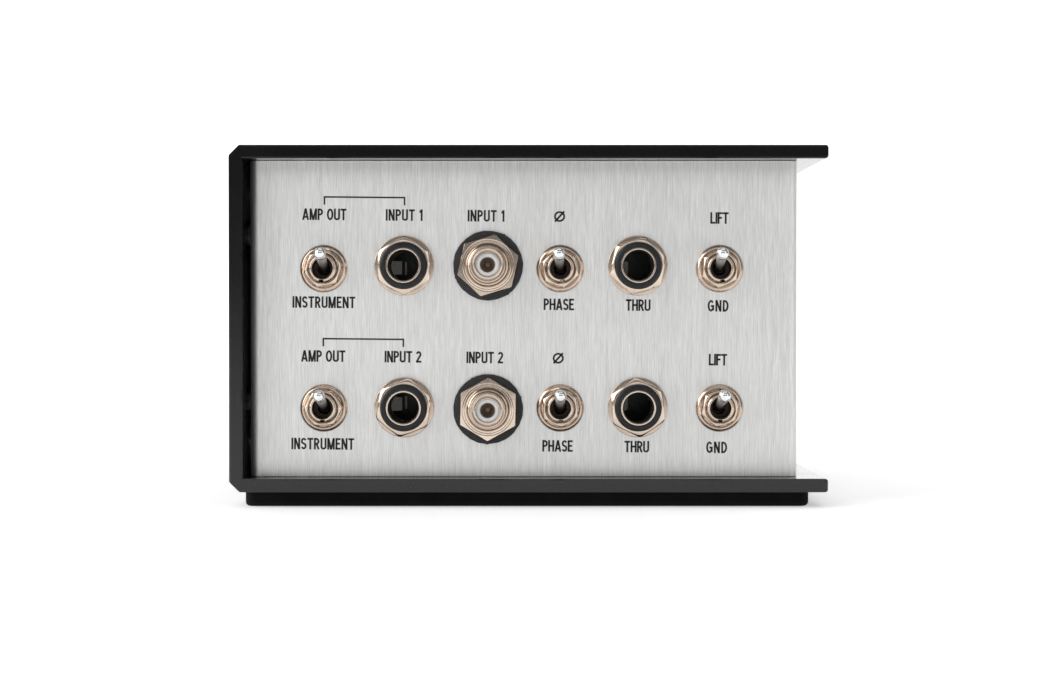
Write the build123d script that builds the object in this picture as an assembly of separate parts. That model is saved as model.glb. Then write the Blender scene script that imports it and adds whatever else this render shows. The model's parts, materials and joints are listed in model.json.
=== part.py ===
from build123d import *
import os
from math import cos, radians, sin

# A two-channel passive direct injection box, as an assembly of its real pieces.
# Millimetres. +X is to the right seen from the input panel, -Y points out of the input
# panel, +Z is up. The origin is the middle of the base pad's underside.
# The parts that sit on a panel are drawn in the panel's own frame: x to the right, y up,
# z out of the panel, with z = 0 on the panel's outer face.

# ---- outer shell: a thick channel of top, left wall and bottom, open on the right ----
shell_width = 139.7
shell_depth = 152.4
shell_height = 81.0
shell_wall = 3.175
shell_corner_chamfer = 2.4
shell_corner_radius = 0.8
shell_lip_radius = 0.7
shell_rim_break = 0.35
panel_recess = 6.35

# ---- base pad ----
pad_thickness = 3.6
pad_inset_left = 3.1
pad_inset_right = 3.8
pad_inset_ends = 4.0
pad_corner_radius = 2.5
pad_edge_radius = 1.0
pad_access_radius = 4.5

# ---- chassis: one folded sheet ----
sheet = 1.6
bend_radius = 2.0
chassis_gap = 0.125
left_gap = 0.925
left_flange = 14.0
bottom_flange = 14.0
bottom_flange_relief = 14.0
relief_width = 1.5

# ---- layout of the input panel ----
first_column_inset = 17.45
last_column_inset = 18.45
# how far each column stands from an even grid between the first and the last one
column_shifts = (0.0, 0.32, 1.44, -0.24, -0.62, 0.0)
row_pitch = 33.15
row_lift = -4.475
# how far each kind of part sits above its row, in the upper and the lower row
toggle_row_shifts = (-0.3, 0.0)
jack_row_shifts = (0.4, 0.15)
rca_row_shifts = (0.4, -0.25)

# ---- fits ----
thread_gap = 0.04
running_gap = 0.05
hole_gap = 0.12
flush_gap = 0.2

# ---- toggle switches ----
toggle_turns = ((5.0, -9.0, -7.0), (0.0, -2.0, 2.0))
toggle_nut_turns = ((12.0, 41.0, 25.0), (3.0, 33.0, 18.0))
bushing_radius = 3.175
bushing_bore = 2.55
bushing_top = 3.5
bushing_length = 8.9
keyway_width = 1.0
keyway_depth = 0.45
case_width = 11.4
case_height = 12.7
case_depth = 8.1
case_wall = 1.0
cap_thickness = 0.9
lever_pivot_depth = 6.0
lever_reach = 16.5
lever_tilt = 12.5
lever_tip_radius = 1.42
lever_neck_radius = 1.0
lever_ball_radius = 2.1
lever_tail = 7.1
lever_tail_radius = 0.95
cross_pin_radius = 0.5
rocker_tilt = 8.0
rocker_width = 6.0
rocker_length = 8.8
rocker_thickness = 0.5
rocker_hub_radius = 0.9
rocker_pin_radius = 0.4
rocker_pivot_depth = 14.1
terminal_pitch_x = 4.83
terminal_pitch_y = 4.7
terminal_width = 0.9
terminal_thickness = 0.7
toggle_nut_flats = 8.0
toggle_nut_corner_radius = 4.6
toggle_nut_thickness = 2.0
lock_washer_radius = 5.6
lock_washer_thickness = 0.6
lock_washer_teeth = 10
tooth_slot_width = 0.8
tooth_slot_depth = 0.8
back_nut_thickness = 2.0

# ---- quarter-inch jacks ----
jack_nut_turns = ((30.0, 17.0), (21.0, 34.0))
jack_nose_radius = 5.4
jack_nose_height = 4.0
jack_nose_break = 0.5
jack_body = 15.6
jack_body_depth = 29.0
jack_bore = 3.3
jack_mouth_bore = 3.55
jack_ring_radius = 3.95
jack_ring_length = 9.0
jack_throat_radius = 3.6
jack_chamber_width = 12.6
jack_chamber_height = 11.0
jack_chamber_start = 6.5
jack_nut_flats = 12.3
jack_nut_corner_radius = 6.65
jack_nut_thickness = 2.2
jack_washer_radius = 7.05
jack_washer_thickness = 0.6
tip_post_radius = 0.6
tip_post_x = -4.8
tip_post_depth = 9.0
tip_curl_radius = 1.1
tip_leaf_thickness = 0.4
tip_leaf_height = 3.2
tip_bump_x = -1.9
tip_bump_depth = 20.5
normal_blade_x = -1.15
normal_blade_width = 0.5
normal_blade_length = 0.9
jack_pin_spacing_x = 10.0
jack_pin_spacing_y = 13.3

# ---- RCA sockets ----
rca_nut_turns = (17.0, 29.0)
rca_barrel_radius = 4.15
rca_barrel_height = 9.0
rca_thread_radius = 4.75
rca_thread_height = 4.2
rca_liner_radius = 2.7
rca_contact_radius = 2.05
rca_contact_bore = 1.65
rca_flange_radius = 6.5
rca_flange_thickness = 2.2
rca_rear_length = 3.5
rca_tail_radius = 0.8
rca_tail_length = 4.0
rca_nut_flats = 13.0
rca_nut_corner_radius = 7.5
rca_nut_thickness = 2.4
rca_washer_radius = 8.2
rca_washer_thickness = 1.0
rca_back_washer_radius = 7.0
rca_back_washer_thickness = 1.2
rca_shoulder_radius = 5.4
rca_shoulder_height = 0.7
rca_tag_thickness = 0.5
rca_tag_radius = 6.0
rca_tag_length = 11.0

# ---- XLR outputs ----
xlr_offset = 30.0
xlr_flange_width = 26.0
xlr_flange_height = 31.0
xlr_flange_thickness = 2.0
xlr_body_radius = 11.75
xlr_body_depth = 20.0
xlr_cavity_radius = 9.6
xlr_cavity_depth = 12.5
xlr_insert_depth = 18.5
xlr_key_width = 2.6
xlr_key_height = 1.0
xlr_pin_radius = 1.2
xlr_pin_circle = 4.1
xlr_pin_recess = 4.6
xlr_cup_depth = 23.0
xlr_screw_x = 9.5
xlr_screw_y = 12.0
xlr_nut_flats = 5.5
xlr_nut_thickness = 2.4

# ---- boards, transformers and small parts ----
board_thickness = 1.6
board_inset = 5.0
pin_drill_radius = 0.75
transformer_board_start = -24.0
transformer_board_end = 40.0
transformer_y = 8.0
transformer_pitch = 32.0
standoff_height = 8.0
standoff_flats = 5.0
board_screw_head_radius = 2.75
board_screw_head_height = 1.8
can_radius = 14.5
can_length = 34.0
can_wall = 0.6
core_width = 19.0
core_length = 24.0
core_stack = 8.0
core_leg = 6.4
core_yoke = 3.2
coil_width = 12.2
coil_height = 15.0
resistor_radius = 1.2
resistor_length = 6.3
resistor_pitch = 3.3
resistor_count = 5
lead_radius = 0.3
lead_reach = 5.1
capacitor_size = (4.6, 11.0, 8.0)
wire_radius = 0.6

# ---- screws ----
screw_radius = 1.5
countersink_radius = 2.9
socket_flats = 2.0
socket_depth = 1.3
screw_length = 9.0
bottom_screw_length = 7.5
nut_barrel_radius = 2.4
rivet_head_radius = 3.6
nut_barrel_length = 5.0
side_screw_inset = 8.0
side_screw_pitch = 40.0
bottom_screw_inset = 9.0
bottom_screw_pitch = 45.0

# ---- places worked out from the sizes above ----
low = pad_thickness
high = pad_thickness + shell_height
middle_z = (low + high) / 2
cavity_low = low + shell_wall
cavity_high = high - shell_wall
chassis_low = cavity_low + chassis_gap
chassis_high = cavity_high - chassis_gap
chassis_left = -shell_width / 2 + shell_wall + left_gap
chassis_right = shell_width / 2 - panel_recess
front = -shell_depth / 2 + panel_recess
rear = shell_depth / 2 - panel_recess
wall_inside = chassis_right - sheet

column_first = chassis_left + first_column_inset
column_step = (chassis_right - last_column_inset - column_first) / (len(column_shifts) - 1)
columns = [column_first + i * column_step + shift for i, shift in enumerate(column_shifts)]
rows = [middle_z + row_lift + row_pitch / 2, middle_z + row_lift - row_pitch / 2]
toggle_rows = [z + shift for z, shift in zip(rows, toggle_row_shifts)]
jack_rows = [z + shift for z, shift in zip(rows, jack_row_shifts)]
rca_rows = [z + shift for z, shift in zip(rows, rca_row_shifts)]
toggle_columns = [columns[0], columns[3], columns[5]]
jack_columns = [columns[1], columns[4]]
rca_column = columns[2]

cap_top = bushing_top - bushing_length
case_top = cap_top - cap_thickness
case_bottom = case_top - case_depth
pivot_z = bushing_top - lever_pivot_depth
rocker_z = bushing_top - rocker_pivot_depth
jack_rear = -jack_body_depth
input_board_top = jack_rear - flush_gap
input_board_bottom = input_board_top - board_thickness
pin_end = input_board_bottom - 1.4

rca_tag_top = -sheet - rca_back_washer_thickness
rca_flange_top = rca_tag_top - rca_tag_thickness
rca_rear = rca_flange_top - rca_flange_thickness - rca_rear_length
rca_tail_end = rca_rear - rca_tail_length

transformer_board_x = wall_inside - standoff_height
transformer_face = transformer_board_x - board_thickness
transformer_rows = [middle_z + transformer_pitch / 2, middle_z - transformer_pitch / 2]
board_low = chassis_low + board_inset
board_high = chassis_high - board_inset
panel_middle = (chassis_left + chassis_right) / 2
xlr_columns = [panel_middle + xlr_offset, panel_middle - xlr_offset]

parts = {}


# ---- drawing helpers ----
def disc(radius, bottom, top):
    """A round bar along z from bottom to top."""
    return Pos(0, 0, (bottom + top) / 2) * Cylinder(radius, top - bottom)


def tube(outer, inner, bottom, top):
    """A round tube along z."""
    return disc(outer, bottom, top) - disc(inner, bottom - 1, top + 1)


def block(x_low, x_high, y_low, y_high, z_low, z_high):
    """A box given by its limits."""
    middle = ((x_low + x_high) / 2, (y_low + y_high) / 2, (z_low + z_high) / 2)
    return Pos(*middle) * Box(x_high - x_low, y_high - y_low, z_high - z_low)


def turned(*points):
    """A solid of revolution about z from (radius, z) points."""
    return revolve(Plane.XZ * make_face(Polyline(*points, close=True)), Axis.Z)


def hexagon(flats, bottom, top, turn=0.0):
    """A hexagonal bar along z; turn is the angle of its first corner."""
    outline = RegularPolygon(flats / 2, 6, major_radius=False)
    return Pos(0, 0, bottom) * Rot(0, 0, turn) * extrude(outline, top - bottom)


def hex_nut(flats, corner_radius, bore, bottom, top, turn):
    """A hexagon whose corners are turned off by a cone at the front, with a plain bore."""
    flat = 0.96 * flats / 2
    slope = (corner_radius - flat) * 0.55
    envelope = turned(
        (0, bottom), (corner_radius, bottom), (corner_radius, top - slope), (flat, top), (0, top)
    )
    mouth = Pos(0, 0, top) * Cone(bore, bore + 0.6, 0.3, align=(Align.CENTER, Align.CENTER, Align.MAX))
    return (hexagon(flats, bottom, top, turn) & envelope) - disc(bore, bottom - 1, top + 1) - mouth


def front_place(x, z, turn=0.0):
    """The frame of a part on the input panel, turned clockwise seen from outside."""
    return Plane(origin=(x, front, z), x_dir=(1, 0, 0), z_dir=(0, -1, 0)).location * Rot(0, 0, -turn)


def rear_place(x, z):
    """The frame of a part on the rear panel."""
    return Plane(origin=(x, rear, z), x_dir=(-1, 0, 0), z_dir=(0, 1, 0)).location


def side_place(y, z):
    """The frame of a screw on the outside of the shell's left wall."""
    return Plane(origin=(-shell_width / 2, y, z), x_dir=(0, -1, 0), z_dir=(-1, 0, 0)).location


def under_place(x, y):
    """The frame of a screw under the shell's bottom plate."""
    return Plane(origin=(x, y, low), x_dir=(1, 0, 0), z_dir=(0, 0, -1)).location


def wall_place(y, z):
    """The frame of a part on the transformer board, z pointing away from the right wall."""
    return Plane(origin=(transformer_face, y, z), x_dir=(0, -1, 0), z_dir=(-1, 0, 0)).location


def keep(node, solids):
    """Holds the solids of one named node until they are written."""
    parts[node] = Compound([one for solid in solids for one in solid.solids()])


# ---- screw places ----
side_screws_at = [
    (y, middle_z + s * side_screw_pitch / 2)
    for y in (front + side_screw_inset, rear - side_screw_inset)
    for s in (1, -1)
]
bottom_screws_at = [
    (chassis_right - bottom_screw_inset, s * bottom_screw_pitch) for s in (-1, 0, 1)
]
standoffs_at = [
    (y, z)
    for y in (transformer_board_start + 4, transformer_board_end - 4)
    for z in (board_low + 4, board_high - 4)
]


def countersunk_screw(length=screw_length, grow=0.0):
    """A flat-head screw with a hex socket, z = 0 on its head; grow widens it into its hole."""
    rim = countersink_radius + grow
    shank = screw_radius + grow
    depth = rim - shank
    body = turned((0, 0), (rim, 0), (shank, -depth), (shank, -length), (0, -length))
    if grow:
        return body
    return body - hexagon(socket_flats, -socket_depth, 1)


# ---- enclosure ----
def make_outer_shell():
    """The channel: an outer rectangle with cut left corners, hollowed out to the right."""
    outline = Rectangle(shell_width, shell_height)
    outline = chamfer(outline.vertices().group_by(Axis.X)[0], shell_corner_chamfer)
    cut_corners = outline.vertices().sort_by(Axis.X)[:4]
    outline = fillet(cut_corners, shell_corner_radius)
    outline -= Pos(shell_wall, 0) * Rectangle(shell_width, shell_height - 2 * shell_wall)
    outline = fillet(outline.vertices().group_by(Axis.X)[-1], shell_lip_radius)
    channel = extrude(Plane.XZ * outline, shell_depth / 2, both=True)
    rims = channel.faces().sort_by(Axis.Y)
    edges = rims[0].edges() + rims[-1].edges()
    channel = chamfer(edges, shell_rim_break)
    shell = Pos(0, 0, middle_z) * channel
    for y, z in side_screws_at:
        shell -= side_place(y, z) * countersunk_screw(grow=hole_gap)
    for x, y in bottom_screws_at:
        shell -= under_place(x, y) * countersunk_screw(grow=hole_gap)
    return shell


def make_base_pad():
    """The pad under the bottom plate, with holes that reach the bottom screws."""
    left = -shell_width / 2 + pad_inset_left
    right = shell_width / 2 - pad_inset_right
    end = shell_depth / 2 - pad_inset_ends
    pad = block(left, right, -end, end, 0, pad_thickness)
    pad = fillet(pad.edges().filter_by(Axis.Z), pad_corner_radius)
    pad = fillet(pad.faces().sort_by(Axis.Z)[0].edges(), pad_edge_radius)
    for x, y in bottom_screws_at:
        pad -= Pos(x, y, 0) * disc(pad_access_radius, -1, pad_thickness + 1)
    return pad


def folded_sheet():
    """The sheet's walls: a rounded tube standing on end, open between two left flanges."""
    width = chassis_right - chassis_left
    depth = rear - front
    outside = RectangleRounded(width, depth, bend_radius)
    inside = RectangleRounded(width - 2 * sheet, depth - 2 * sheet, bend_radius - sheet)
    opening = Pos(-width / 2, 0) * Rectangle(4 * bend_radius, depth - 2 * left_flange)
    walls = extrude(outside - inside - opening, chassis_high - chassis_low)
    return Pos((chassis_left + chassis_right) / 2, (front + rear) / 2, chassis_low) * walls


def bottom_fold():
    """The flange folded in from the right wall's lower edge, as an L with round bends."""
    half = (rear - front) / 2 - bottom_flange_relief
    outer = Rectangle(bottom_flange, bottom_flange, align=(Align.MAX, Align.MIN))
    corner = outer.vertices().sort_by(Axis.Y)[:2].sort_by(Axis.X)[-1]
    outer = fillet(corner, bend_radius)
    inner = Pos(-sheet, sheet) * Rectangle(2 * bottom_flange, bottom_flange, align=(Align.MAX, Align.MIN))
    inner_corner = inner.vertices().sort_by(Axis.Y)[:2].sort_by(Axis.X)[-1]
    inner = fillet(inner_corner, bend_radius - sheet)
    fold = extrude(Plane.XZ * (outer - inner), half, both=True)
    return Pos(chassis_right, 0, chassis_low) * fold


def make_chassis():
    """The folded sheet with every hole that a part passes through."""
    half = (rear - front) / 2 - bottom_flange_relief
    chassis = folded_sheet()
    edge = half + relief_width
    cut = block(chassis_right - 4, chassis_right + 1, -edge, edge, chassis_low - 1, chassis_low + 4)
    chassis = chassis - cut + bottom_fold()
    reach = (-sheet - 1, 1)
    holes = [(x, z, bushing_radius) for x in toggle_columns for z in toggle_rows]
    holes += [(x, z, jack_nose_radius) for x in jack_columns for z in jack_rows]
    holes += [(rca_column, z, rca_shoulder_radius) for z in rca_rows]
    for x, z, radius in holes:
        chassis -= front_place(x, z) * disc(radius + hole_gap, *reach)
    for x in xlr_columns:
        chassis -= rear_place(x, middle_z) * disc(xlr_body_radius + hole_gap, *reach)
        for s in (1, -1):
            spot = Pos(s * xlr_screw_x, s * xlr_screw_y, 0)
            chassis -= rear_place(x, middle_z) * spot * disc(screw_radius + hole_gap, *reach)
    for y, z in side_screws_at:
        chassis -= side_place(y, z) * disc(nut_barrel_radius, -shell_wall - left_gap - 4, 0)
    for x, y in bottom_screws_at:
        chassis -= under_place(x, y) * disc(nut_barrel_radius, -shell_wall - chassis_gap - 3, 0)
    for y, z in standoffs_at:
        chassis -= wall_place(y, z) * disc(standoff_flats / 2 - 0.4, -40, 0)
    return chassis


def make_fasteners():
    """Screws through the shell and the nuts pressed into the chassis for them."""
    screw = countersunk_screw()
    keep("side_screws", [side_place(y, z) * screw for y, z in side_screws_at])
    short_screw = countersunk_screw(bottom_screw_length)
    keep("bottom_screws", [under_place(x, y) * short_screw for x, y in bottom_screws_at])
    bore = screw_radius + thread_gap
    head_top = -shell_wall
    seat = head_top - left_gap
    rivet = disc(rivet_head_radius, seat, head_top) + disc(
        nut_barrel_radius, seat - nut_barrel_length, head_top
    )
    rivet -= disc(bore, seat - nut_barrel_length - 1, 1)
    keep("rivet_nuts", [side_place(y, z) * rivet for y, z in side_screws_at])
    sheet_outside = -shell_wall - chassis_gap
    sheet_inside = sheet_outside - sheet
    clinch = disc(nut_barrel_radius, sheet_inside, sheet_outside) + disc(
        rivet_head_radius, sheet_inside - nut_barrel_length / 2, sheet_inside
    )
    clinch -= disc(bore, sheet_inside - nut_barrel_length, 1)
    keep("clinch_nuts", [under_place(x, y) * clinch for x, y in bottom_screws_at])


# ---- toggle switches ----
def toggle_bushing():
    """Threaded bushing with a keyway, on the plate that caps the case."""
    chamfer_size = 0.35
    bushing = turned(
        (0, cap_top),
        (bushing_radius, cap_top),
        (bushing_radius, bushing_top - chamfer_size),
        (bushing_radius - chamfer_size, bushing_top),
        (0, bushing_top),
    )
    x, y = case_width / 2, case_height / 2
    bushing += block(-x, x, -y, y, case_top, cap_top)
    bushing -= disc(bushing_bore, cap_top + 0.5, bushing_top + 1)
    bushing -= disc(lever_ball_radius, case_top - 1, bushing_top)
    key_floor = bushing_radius - keyway_depth
    key = keyway_width / 2
    bushing -= block(-key, key, -bushing_radius - 1, -key_floor, cap_top, bushing_top + 1)
    cross_hole = Rot(0, 90, 0) * Cylinder(cross_pin_radius + running_gap, 4 * bushing_radius)
    return bushing - Pos(0, 0, pivot_z) * cross_hole


def toggle_terminals():
    """Six long pins, from their contact heads inside the case to past the input board."""
    w, t = terminal_width / 2, terminal_thickness / 2
    head_top = case_bottom + case_wall + 1.6
    pins = []
    for i in (-1, 1):
        for j in (-1, 0, 1):
            x, y = i * terminal_pitch_x / 2, j * terminal_pitch_y
            pin = block(x - t, x + t, y - w, y + w, pin_end, head_top)
            head = block(x - 2 * t, x + 2 * t, y - w, y + w, case_bottom + case_wall, head_top)
            pins.append(pin + head)
    return pins


def toggle_case():
    """A moulded box, open under the cap plate, with holes for terminals and rocker pin."""
    x, y = case_width / 2, case_height / 2
    case = block(-x, x, -y, y, case_bottom, case_top)
    case = fillet(case.edges().filter_by(Axis.Z), 0.6)
    case -= block(
        case_wall - x, x - case_wall, case_wall - y, y - case_wall, case_bottom + case_wall, case_top + 1
    )
    w, t = terminal_width / 2, terminal_thickness / 2
    for i in (-1, 1):
        for j in (-1, 0, 1):
            px, py = i * terminal_pitch_x / 2, j * terminal_pitch_y
            case -= block(px - t, px + t, py - w, py + w, case_bottom - 1, case_top)
    pin_hole = Rot(0, 90, 0) * Cylinder(rocker_pin_radius + running_gap, case_width - case_wall)
    return case - Pos(0, 0, rocker_z) * pin_hole


def toggle_lever():
    """Bat, pivot ball and tail turned in one piece about the lever's axis, and a cross pin.

    The bat widens in a straight line from its neck to a half-round tip.
    """
    ball, tail, tip = lever_ball_radius, lever_tail_radius, lever_tip_radius
    tail_joint = (tail, -((ball**2 - tail**2) ** 0.5))
    neck_joint = (lever_neck_radius, (ball**2 - lever_neck_radius**2) ** 0.5)
    shoulder = (tip, lever_reach - tip)
    outline = [
        Polyline((0, -lever_tail), (tail - 0.4, -lever_tail), (tail, 0.4 - lever_tail), tail_joint),
        ThreePointArc(tail_joint, (ball, 0), neck_joint),
        Line(neck_joint, shoulder),
        ThreePointArc(shoulder, (tip * sin(radians(45)), lever_reach - tip + tip * cos(radians(45))),
                      (0, lever_reach)),
        Line((0, lever_reach), (0, -lever_tail)),
    ]
    bat = revolve(Plane.XZ * make_face(Curve() + outline), Axis.Z)
    pin_length = 2 * (bushing_radius - 0.1)
    cross_pin = Rot(0, 90, 0) * Cylinder(cross_pin_radius, pin_length)
    return Pos(0, 0, pivot_z) * Rot(-lever_tilt, 0, 0) * (bat + cross_pin)


def toggle_rocker():
    """The contact bar that tips over its pin when the lever's tail passes."""
    x, y, z = rocker_width / 2, rocker_length / 2, rocker_thickness / 2
    bar = block(-x, x, -y, y, -z, z)
    hub = Rot(0, 90, 0) * Cylinder(rocker_hub_radius, rocker_width)
    pin = Rot(0, 90, 0) * Cylinder(rocker_pin_radius, case_width - case_wall - 0.2)
    return Pos(0, 0, rocker_z) * Rot(rocker_tilt, 0, 0) * (bar + hub + pin)


def lock_washer():
    """A flat ring with teeth cut into its bore."""
    ring = tube(lock_washer_radius, bushing_radius + hole_gap, 0, lock_washer_thickness)
    step = 360 / lock_washer_teeth
    for i in range(lock_washer_teeth):
        far = bushing_radius + tooth_slot_depth
        slot = block(bushing_radius - 0.5, far, -tooth_slot_width / 2, tooth_slot_width / 2, -1, 1)
        ring -= Rot(0, 0, (i + 0.5) * step) * slot
    return ring


def make_toggles():
    """All six switches, each turned a little in its hole."""
    nodes = {name: [] for name in ("bushings", "cases", "terminals", "nuts", "lock_washers", "back_nuts")}
    bushing, case, pins = toggle_bushing(), toggle_case(), toggle_terminals()
    lever, rocker, washer = toggle_lever(), toggle_rocker(), lock_washer()
    bore = bushing_radius + thread_gap
    nut_bottom = lock_washer_thickness
    nut_top = nut_bottom + toggle_nut_thickness
    for row, z in enumerate(toggle_rows):
        for column, x in enumerate(toggle_columns):
            place = front_place(x, z, toggle_turns[row][column])
            turn = toggle_nut_turns[row][column]
            nut = hex_nut(toggle_nut_flats, toggle_nut_corner_radius, bore, nut_bottom, nut_top, turn)
            back = hexagon(toggle_nut_flats, -sheet - back_nut_thickness, -sheet, turn)
            back -= disc(bore, -sheet - back_nut_thickness - 1, 0)
            nodes["bushings"].append(place * bushing)
            nodes["cases"].append(place * case)
            nodes["terminals"] += [place * pin for pin in pins]
            nodes["nuts"].append(front_place(x, z) * nut)
            nodes["lock_washers"].append(place * washer)
            nodes["back_nuts"].append(front_place(x, z) * back)
            kind = ("pad", "phase", "lift")[column]
            keep(f"{kind}_lever_{row + 1}", [place * lever])
            keep(f"{kind}_rocker_{row + 1}", [place * rocker])
    for name, solids in nodes.items():
        keep("toggle_" + name, solids)


# ---- quarter-inch jacks ----
def jack_housing():
    """Moulded body and nose, a stepped bore, and a chamber open at the back."""
    half = jack_body / 2
    body = block(-half, half, -half, half, jack_rear, -sheet)
    body = fillet(body.edges().filter_by(Axis.Z), 1.0)
    body += turned(
        (0, -sheet - 1),
        (jack_nose_radius, -sheet - 1),
        (jack_nose_radius, jack_nose_height - jack_nose_break),
        (jack_nose_radius - jack_nose_break, jack_nose_height),
        (0, jack_nose_height),
    )
    ring_end = jack_nose_height - jack_ring_length
    body -= disc(jack_ring_radius, ring_end, jack_nose_height + 1)
    body -= disc(jack_throat_radius, -jack_chamber_start - 1, ring_end + 1)
    x, y = jack_chamber_width / 2, jack_chamber_height / 2
    body -= block(-x, x, -y, y, jack_rear - 1, -jack_chamber_start)
    post = Pos(tip_post_x, 0, -tip_post_depth) * Rot(90, 0, 0)
    body += post * Cylinder(tip_post_radius, jack_chamber_height + 1)
    for pin in jack_pins():
        body -= pin
    return body


def jack_ring():
    """The sleeve contact: a metal tube flush with the nose, with a countersunk mouth."""
    top, bottom = jack_nose_height, jack_nose_height - jack_ring_length
    lead_in = jack_mouth_bore - jack_bore
    return turned(
        (jack_bore, bottom),
        (jack_ring_radius, bottom),
        (jack_ring_radius, top),
        (jack_mouth_bore, top),
        (jack_bore, top - lead_in),
    )


def tip_spring():
    """A leaf bent in towards the bore, with a curl that turns on the housing's post."""
    post_y = -tip_post_depth
    route = Polyline(
        (tip_post_x, post_y - tip_curl_radius + 0.2),
        (tip_post_x, -tip_bump_depth + 3.8),
        (tip_bump_x, -tip_bump_depth),
        (tip_bump_x - 1.7, -tip_bump_depth - 2.9),
    )
    outline = trace(route, tip_leaf_thickness)
    outline += Pos(tip_post_x, post_y) * Circle(tip_curl_radius)
    outline -= Pos(tip_post_x, post_y) * Circle(tip_post_radius + running_gap)
    leaf = extrude(outline, tip_leaf_height / 2, both=True)
    # the outline's y runs along the jack's z, and its thickness along the jack's y
    return Rot(90, 0, 0) * leaf


def jack_normal_contact():
    """The fixed contact: a blade that stands on the board in the chamber's back, past the plug."""
    half, height = normal_blade_width / 2, tip_leaf_height / 2
    end = input_board_top + normal_blade_length
    return block(normal_blade_x - half, normal_blade_x + half, -height, height, input_board_top, end)


def jack_pins():
    """Four pins from the housing's floor and roof to past the input board."""
    x, y = jack_pin_spacing_x / 2, jack_pin_spacing_y / 2
    w, t = terminal_width / 2, terminal_thickness / 2
    return [
        block(i * x - w, i * x + w, j * y - t, j * y + t, pin_end, jack_rear + 2)
        for i in (-1, 1)
        for j in (-1, 1)
    ]


def make_jacks():
    """An input and a through jack in each row."""
    nodes = {name: [] for name in ("housings", "nuts", "washers", "sleeve_rings", "normal_contacts", "pins")}
    housing, ring, spring = jack_housing(), jack_ring(), tip_spring()
    contact, pins = jack_normal_contact(), jack_pins()
    washer = tube(jack_washer_radius, jack_nose_radius + hole_gap, 0, jack_washer_thickness)
    bottom = jack_washer_thickness
    bore = jack_nose_radius + thread_gap
    for row, z in enumerate(jack_rows):
        for column, x in enumerate(jack_columns):
            place = front_place(x, z)
            nut = hex_nut(jack_nut_flats, jack_nut_corner_radius, bore, bottom,
                          bottom + jack_nut_thickness, jack_nut_turns[row][column])
            nodes["housings"].append(place * housing)
            nodes["nuts"].append(place * nut)
            nodes["washers"].append(place * washer)
            nodes["sleeve_rings"].append(place * ring)
            nodes["normal_contacts"].append(place * contact)
            nodes["pins"] += [place * pin for pin in pins]
            kind = ("input", "thru")[column]
            keep(f"{kind}_tip_spring_{row + 1}", [place * spring])
    for name, solids in nodes.items():
        keep("jack_" + name, solids)


# ---- RCA sockets ----
def rca_barrel():
    """Barrel, thread and rear flange turned in one piece, bored for its liner."""
    edge = 0.3
    flange_bottom = rca_flange_top - rca_flange_thickness
    return turned(
        (rca_liner_radius, rca_rear),
        (rca_barrel_radius, rca_rear),
        (rca_barrel_radius, flange_bottom),
        (rca_flange_radius, flange_bottom),
        (rca_flange_radius, rca_flange_top),
        (rca_thread_radius, rca_flange_top),
        (rca_thread_radius, rca_thread_height - edge),
        (rca_thread_radius - edge, rca_thread_height),
        (rca_barrel_radius, rca_thread_height),
        (rca_barrel_radius, rca_barrel_height - edge),
        (rca_barrel_radius - edge, rca_barrel_height),
        (rca_liner_radius, rca_barrel_height),
    )


def make_rcas():
    """The socket of each row, insulated from the panel on both sides."""
    barrel = rca_barrel()
    liner_front = rca_barrel_height - 0.3
    insulator = tube(rca_liner_radius, rca_contact_radius, rca_rear - 0.8, liner_front)
    contact = disc(rca_contact_radius, rca_rear - 0.8, liner_front - 1.2)
    contact -= disc(rca_contact_bore, rca_rear + 2, rca_barrel_height)
    contact += disc(rca_tail_radius, rca_tail_end, rca_rear)
    bore = rca_thread_radius + hole_gap
    washer = tube(rca_washer_radius, bore, 0, rca_washer_thickness)
    washer += tube(rca_shoulder_radius, bore, -rca_shoulder_height, 0.1)
    back = tube(rca_back_washer_radius, bore, rca_tag_top, -sheet)
    back += tube(rca_shoulder_radius, bore, -sheet - 0.1, -rca_shoulder_height - flush_gap)
    tag = tube(rca_tag_radius, bore, rca_flange_top, rca_tag_top)
    tail = block(-1.4, 1.4, -rca_tag_length, -rca_thread_radius - 0.6, rca_flange_top, rca_tag_top)
    tag += tail
    tag -= Pos(0, -rca_tag_length + 1.4, 0) * disc(0.8, rca_flange_top - 1, 0)
    shapes = {
        "rca_barrels": barrel,
        "rca_insulators": insulator,
        "rca_center_contacts": contact,
        "rca_front_washers": washer,
        "rca_back_washers": back,
        "rca_ground_tags": tag,
    }
    for node, shape in shapes.items():
        keep(node, [front_place(rca_column, z) * shape for z in rca_rows])
    bottom = rca_washer_thickness
    top = bottom + rca_nut_thickness
    nuts = [
        front_place(rca_column, z)
        * hex_nut(rca_nut_flats, rca_nut_corner_radius, rca_thread_radius + thread_gap, bottom, top, turn)
        for z, turn in zip(rca_rows, rca_nut_turns)
    ]
    keep("rca_nuts", nuts)


# ---- XLR outputs ----
def xlr_pin_spots():
    """Three pins on a circle: two above the middle, one below."""
    return [
        (xlr_pin_circle * cos(radians(a)), xlr_pin_circle * sin(radians(a))) for a in (20, 160, 270)
    ]


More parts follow.
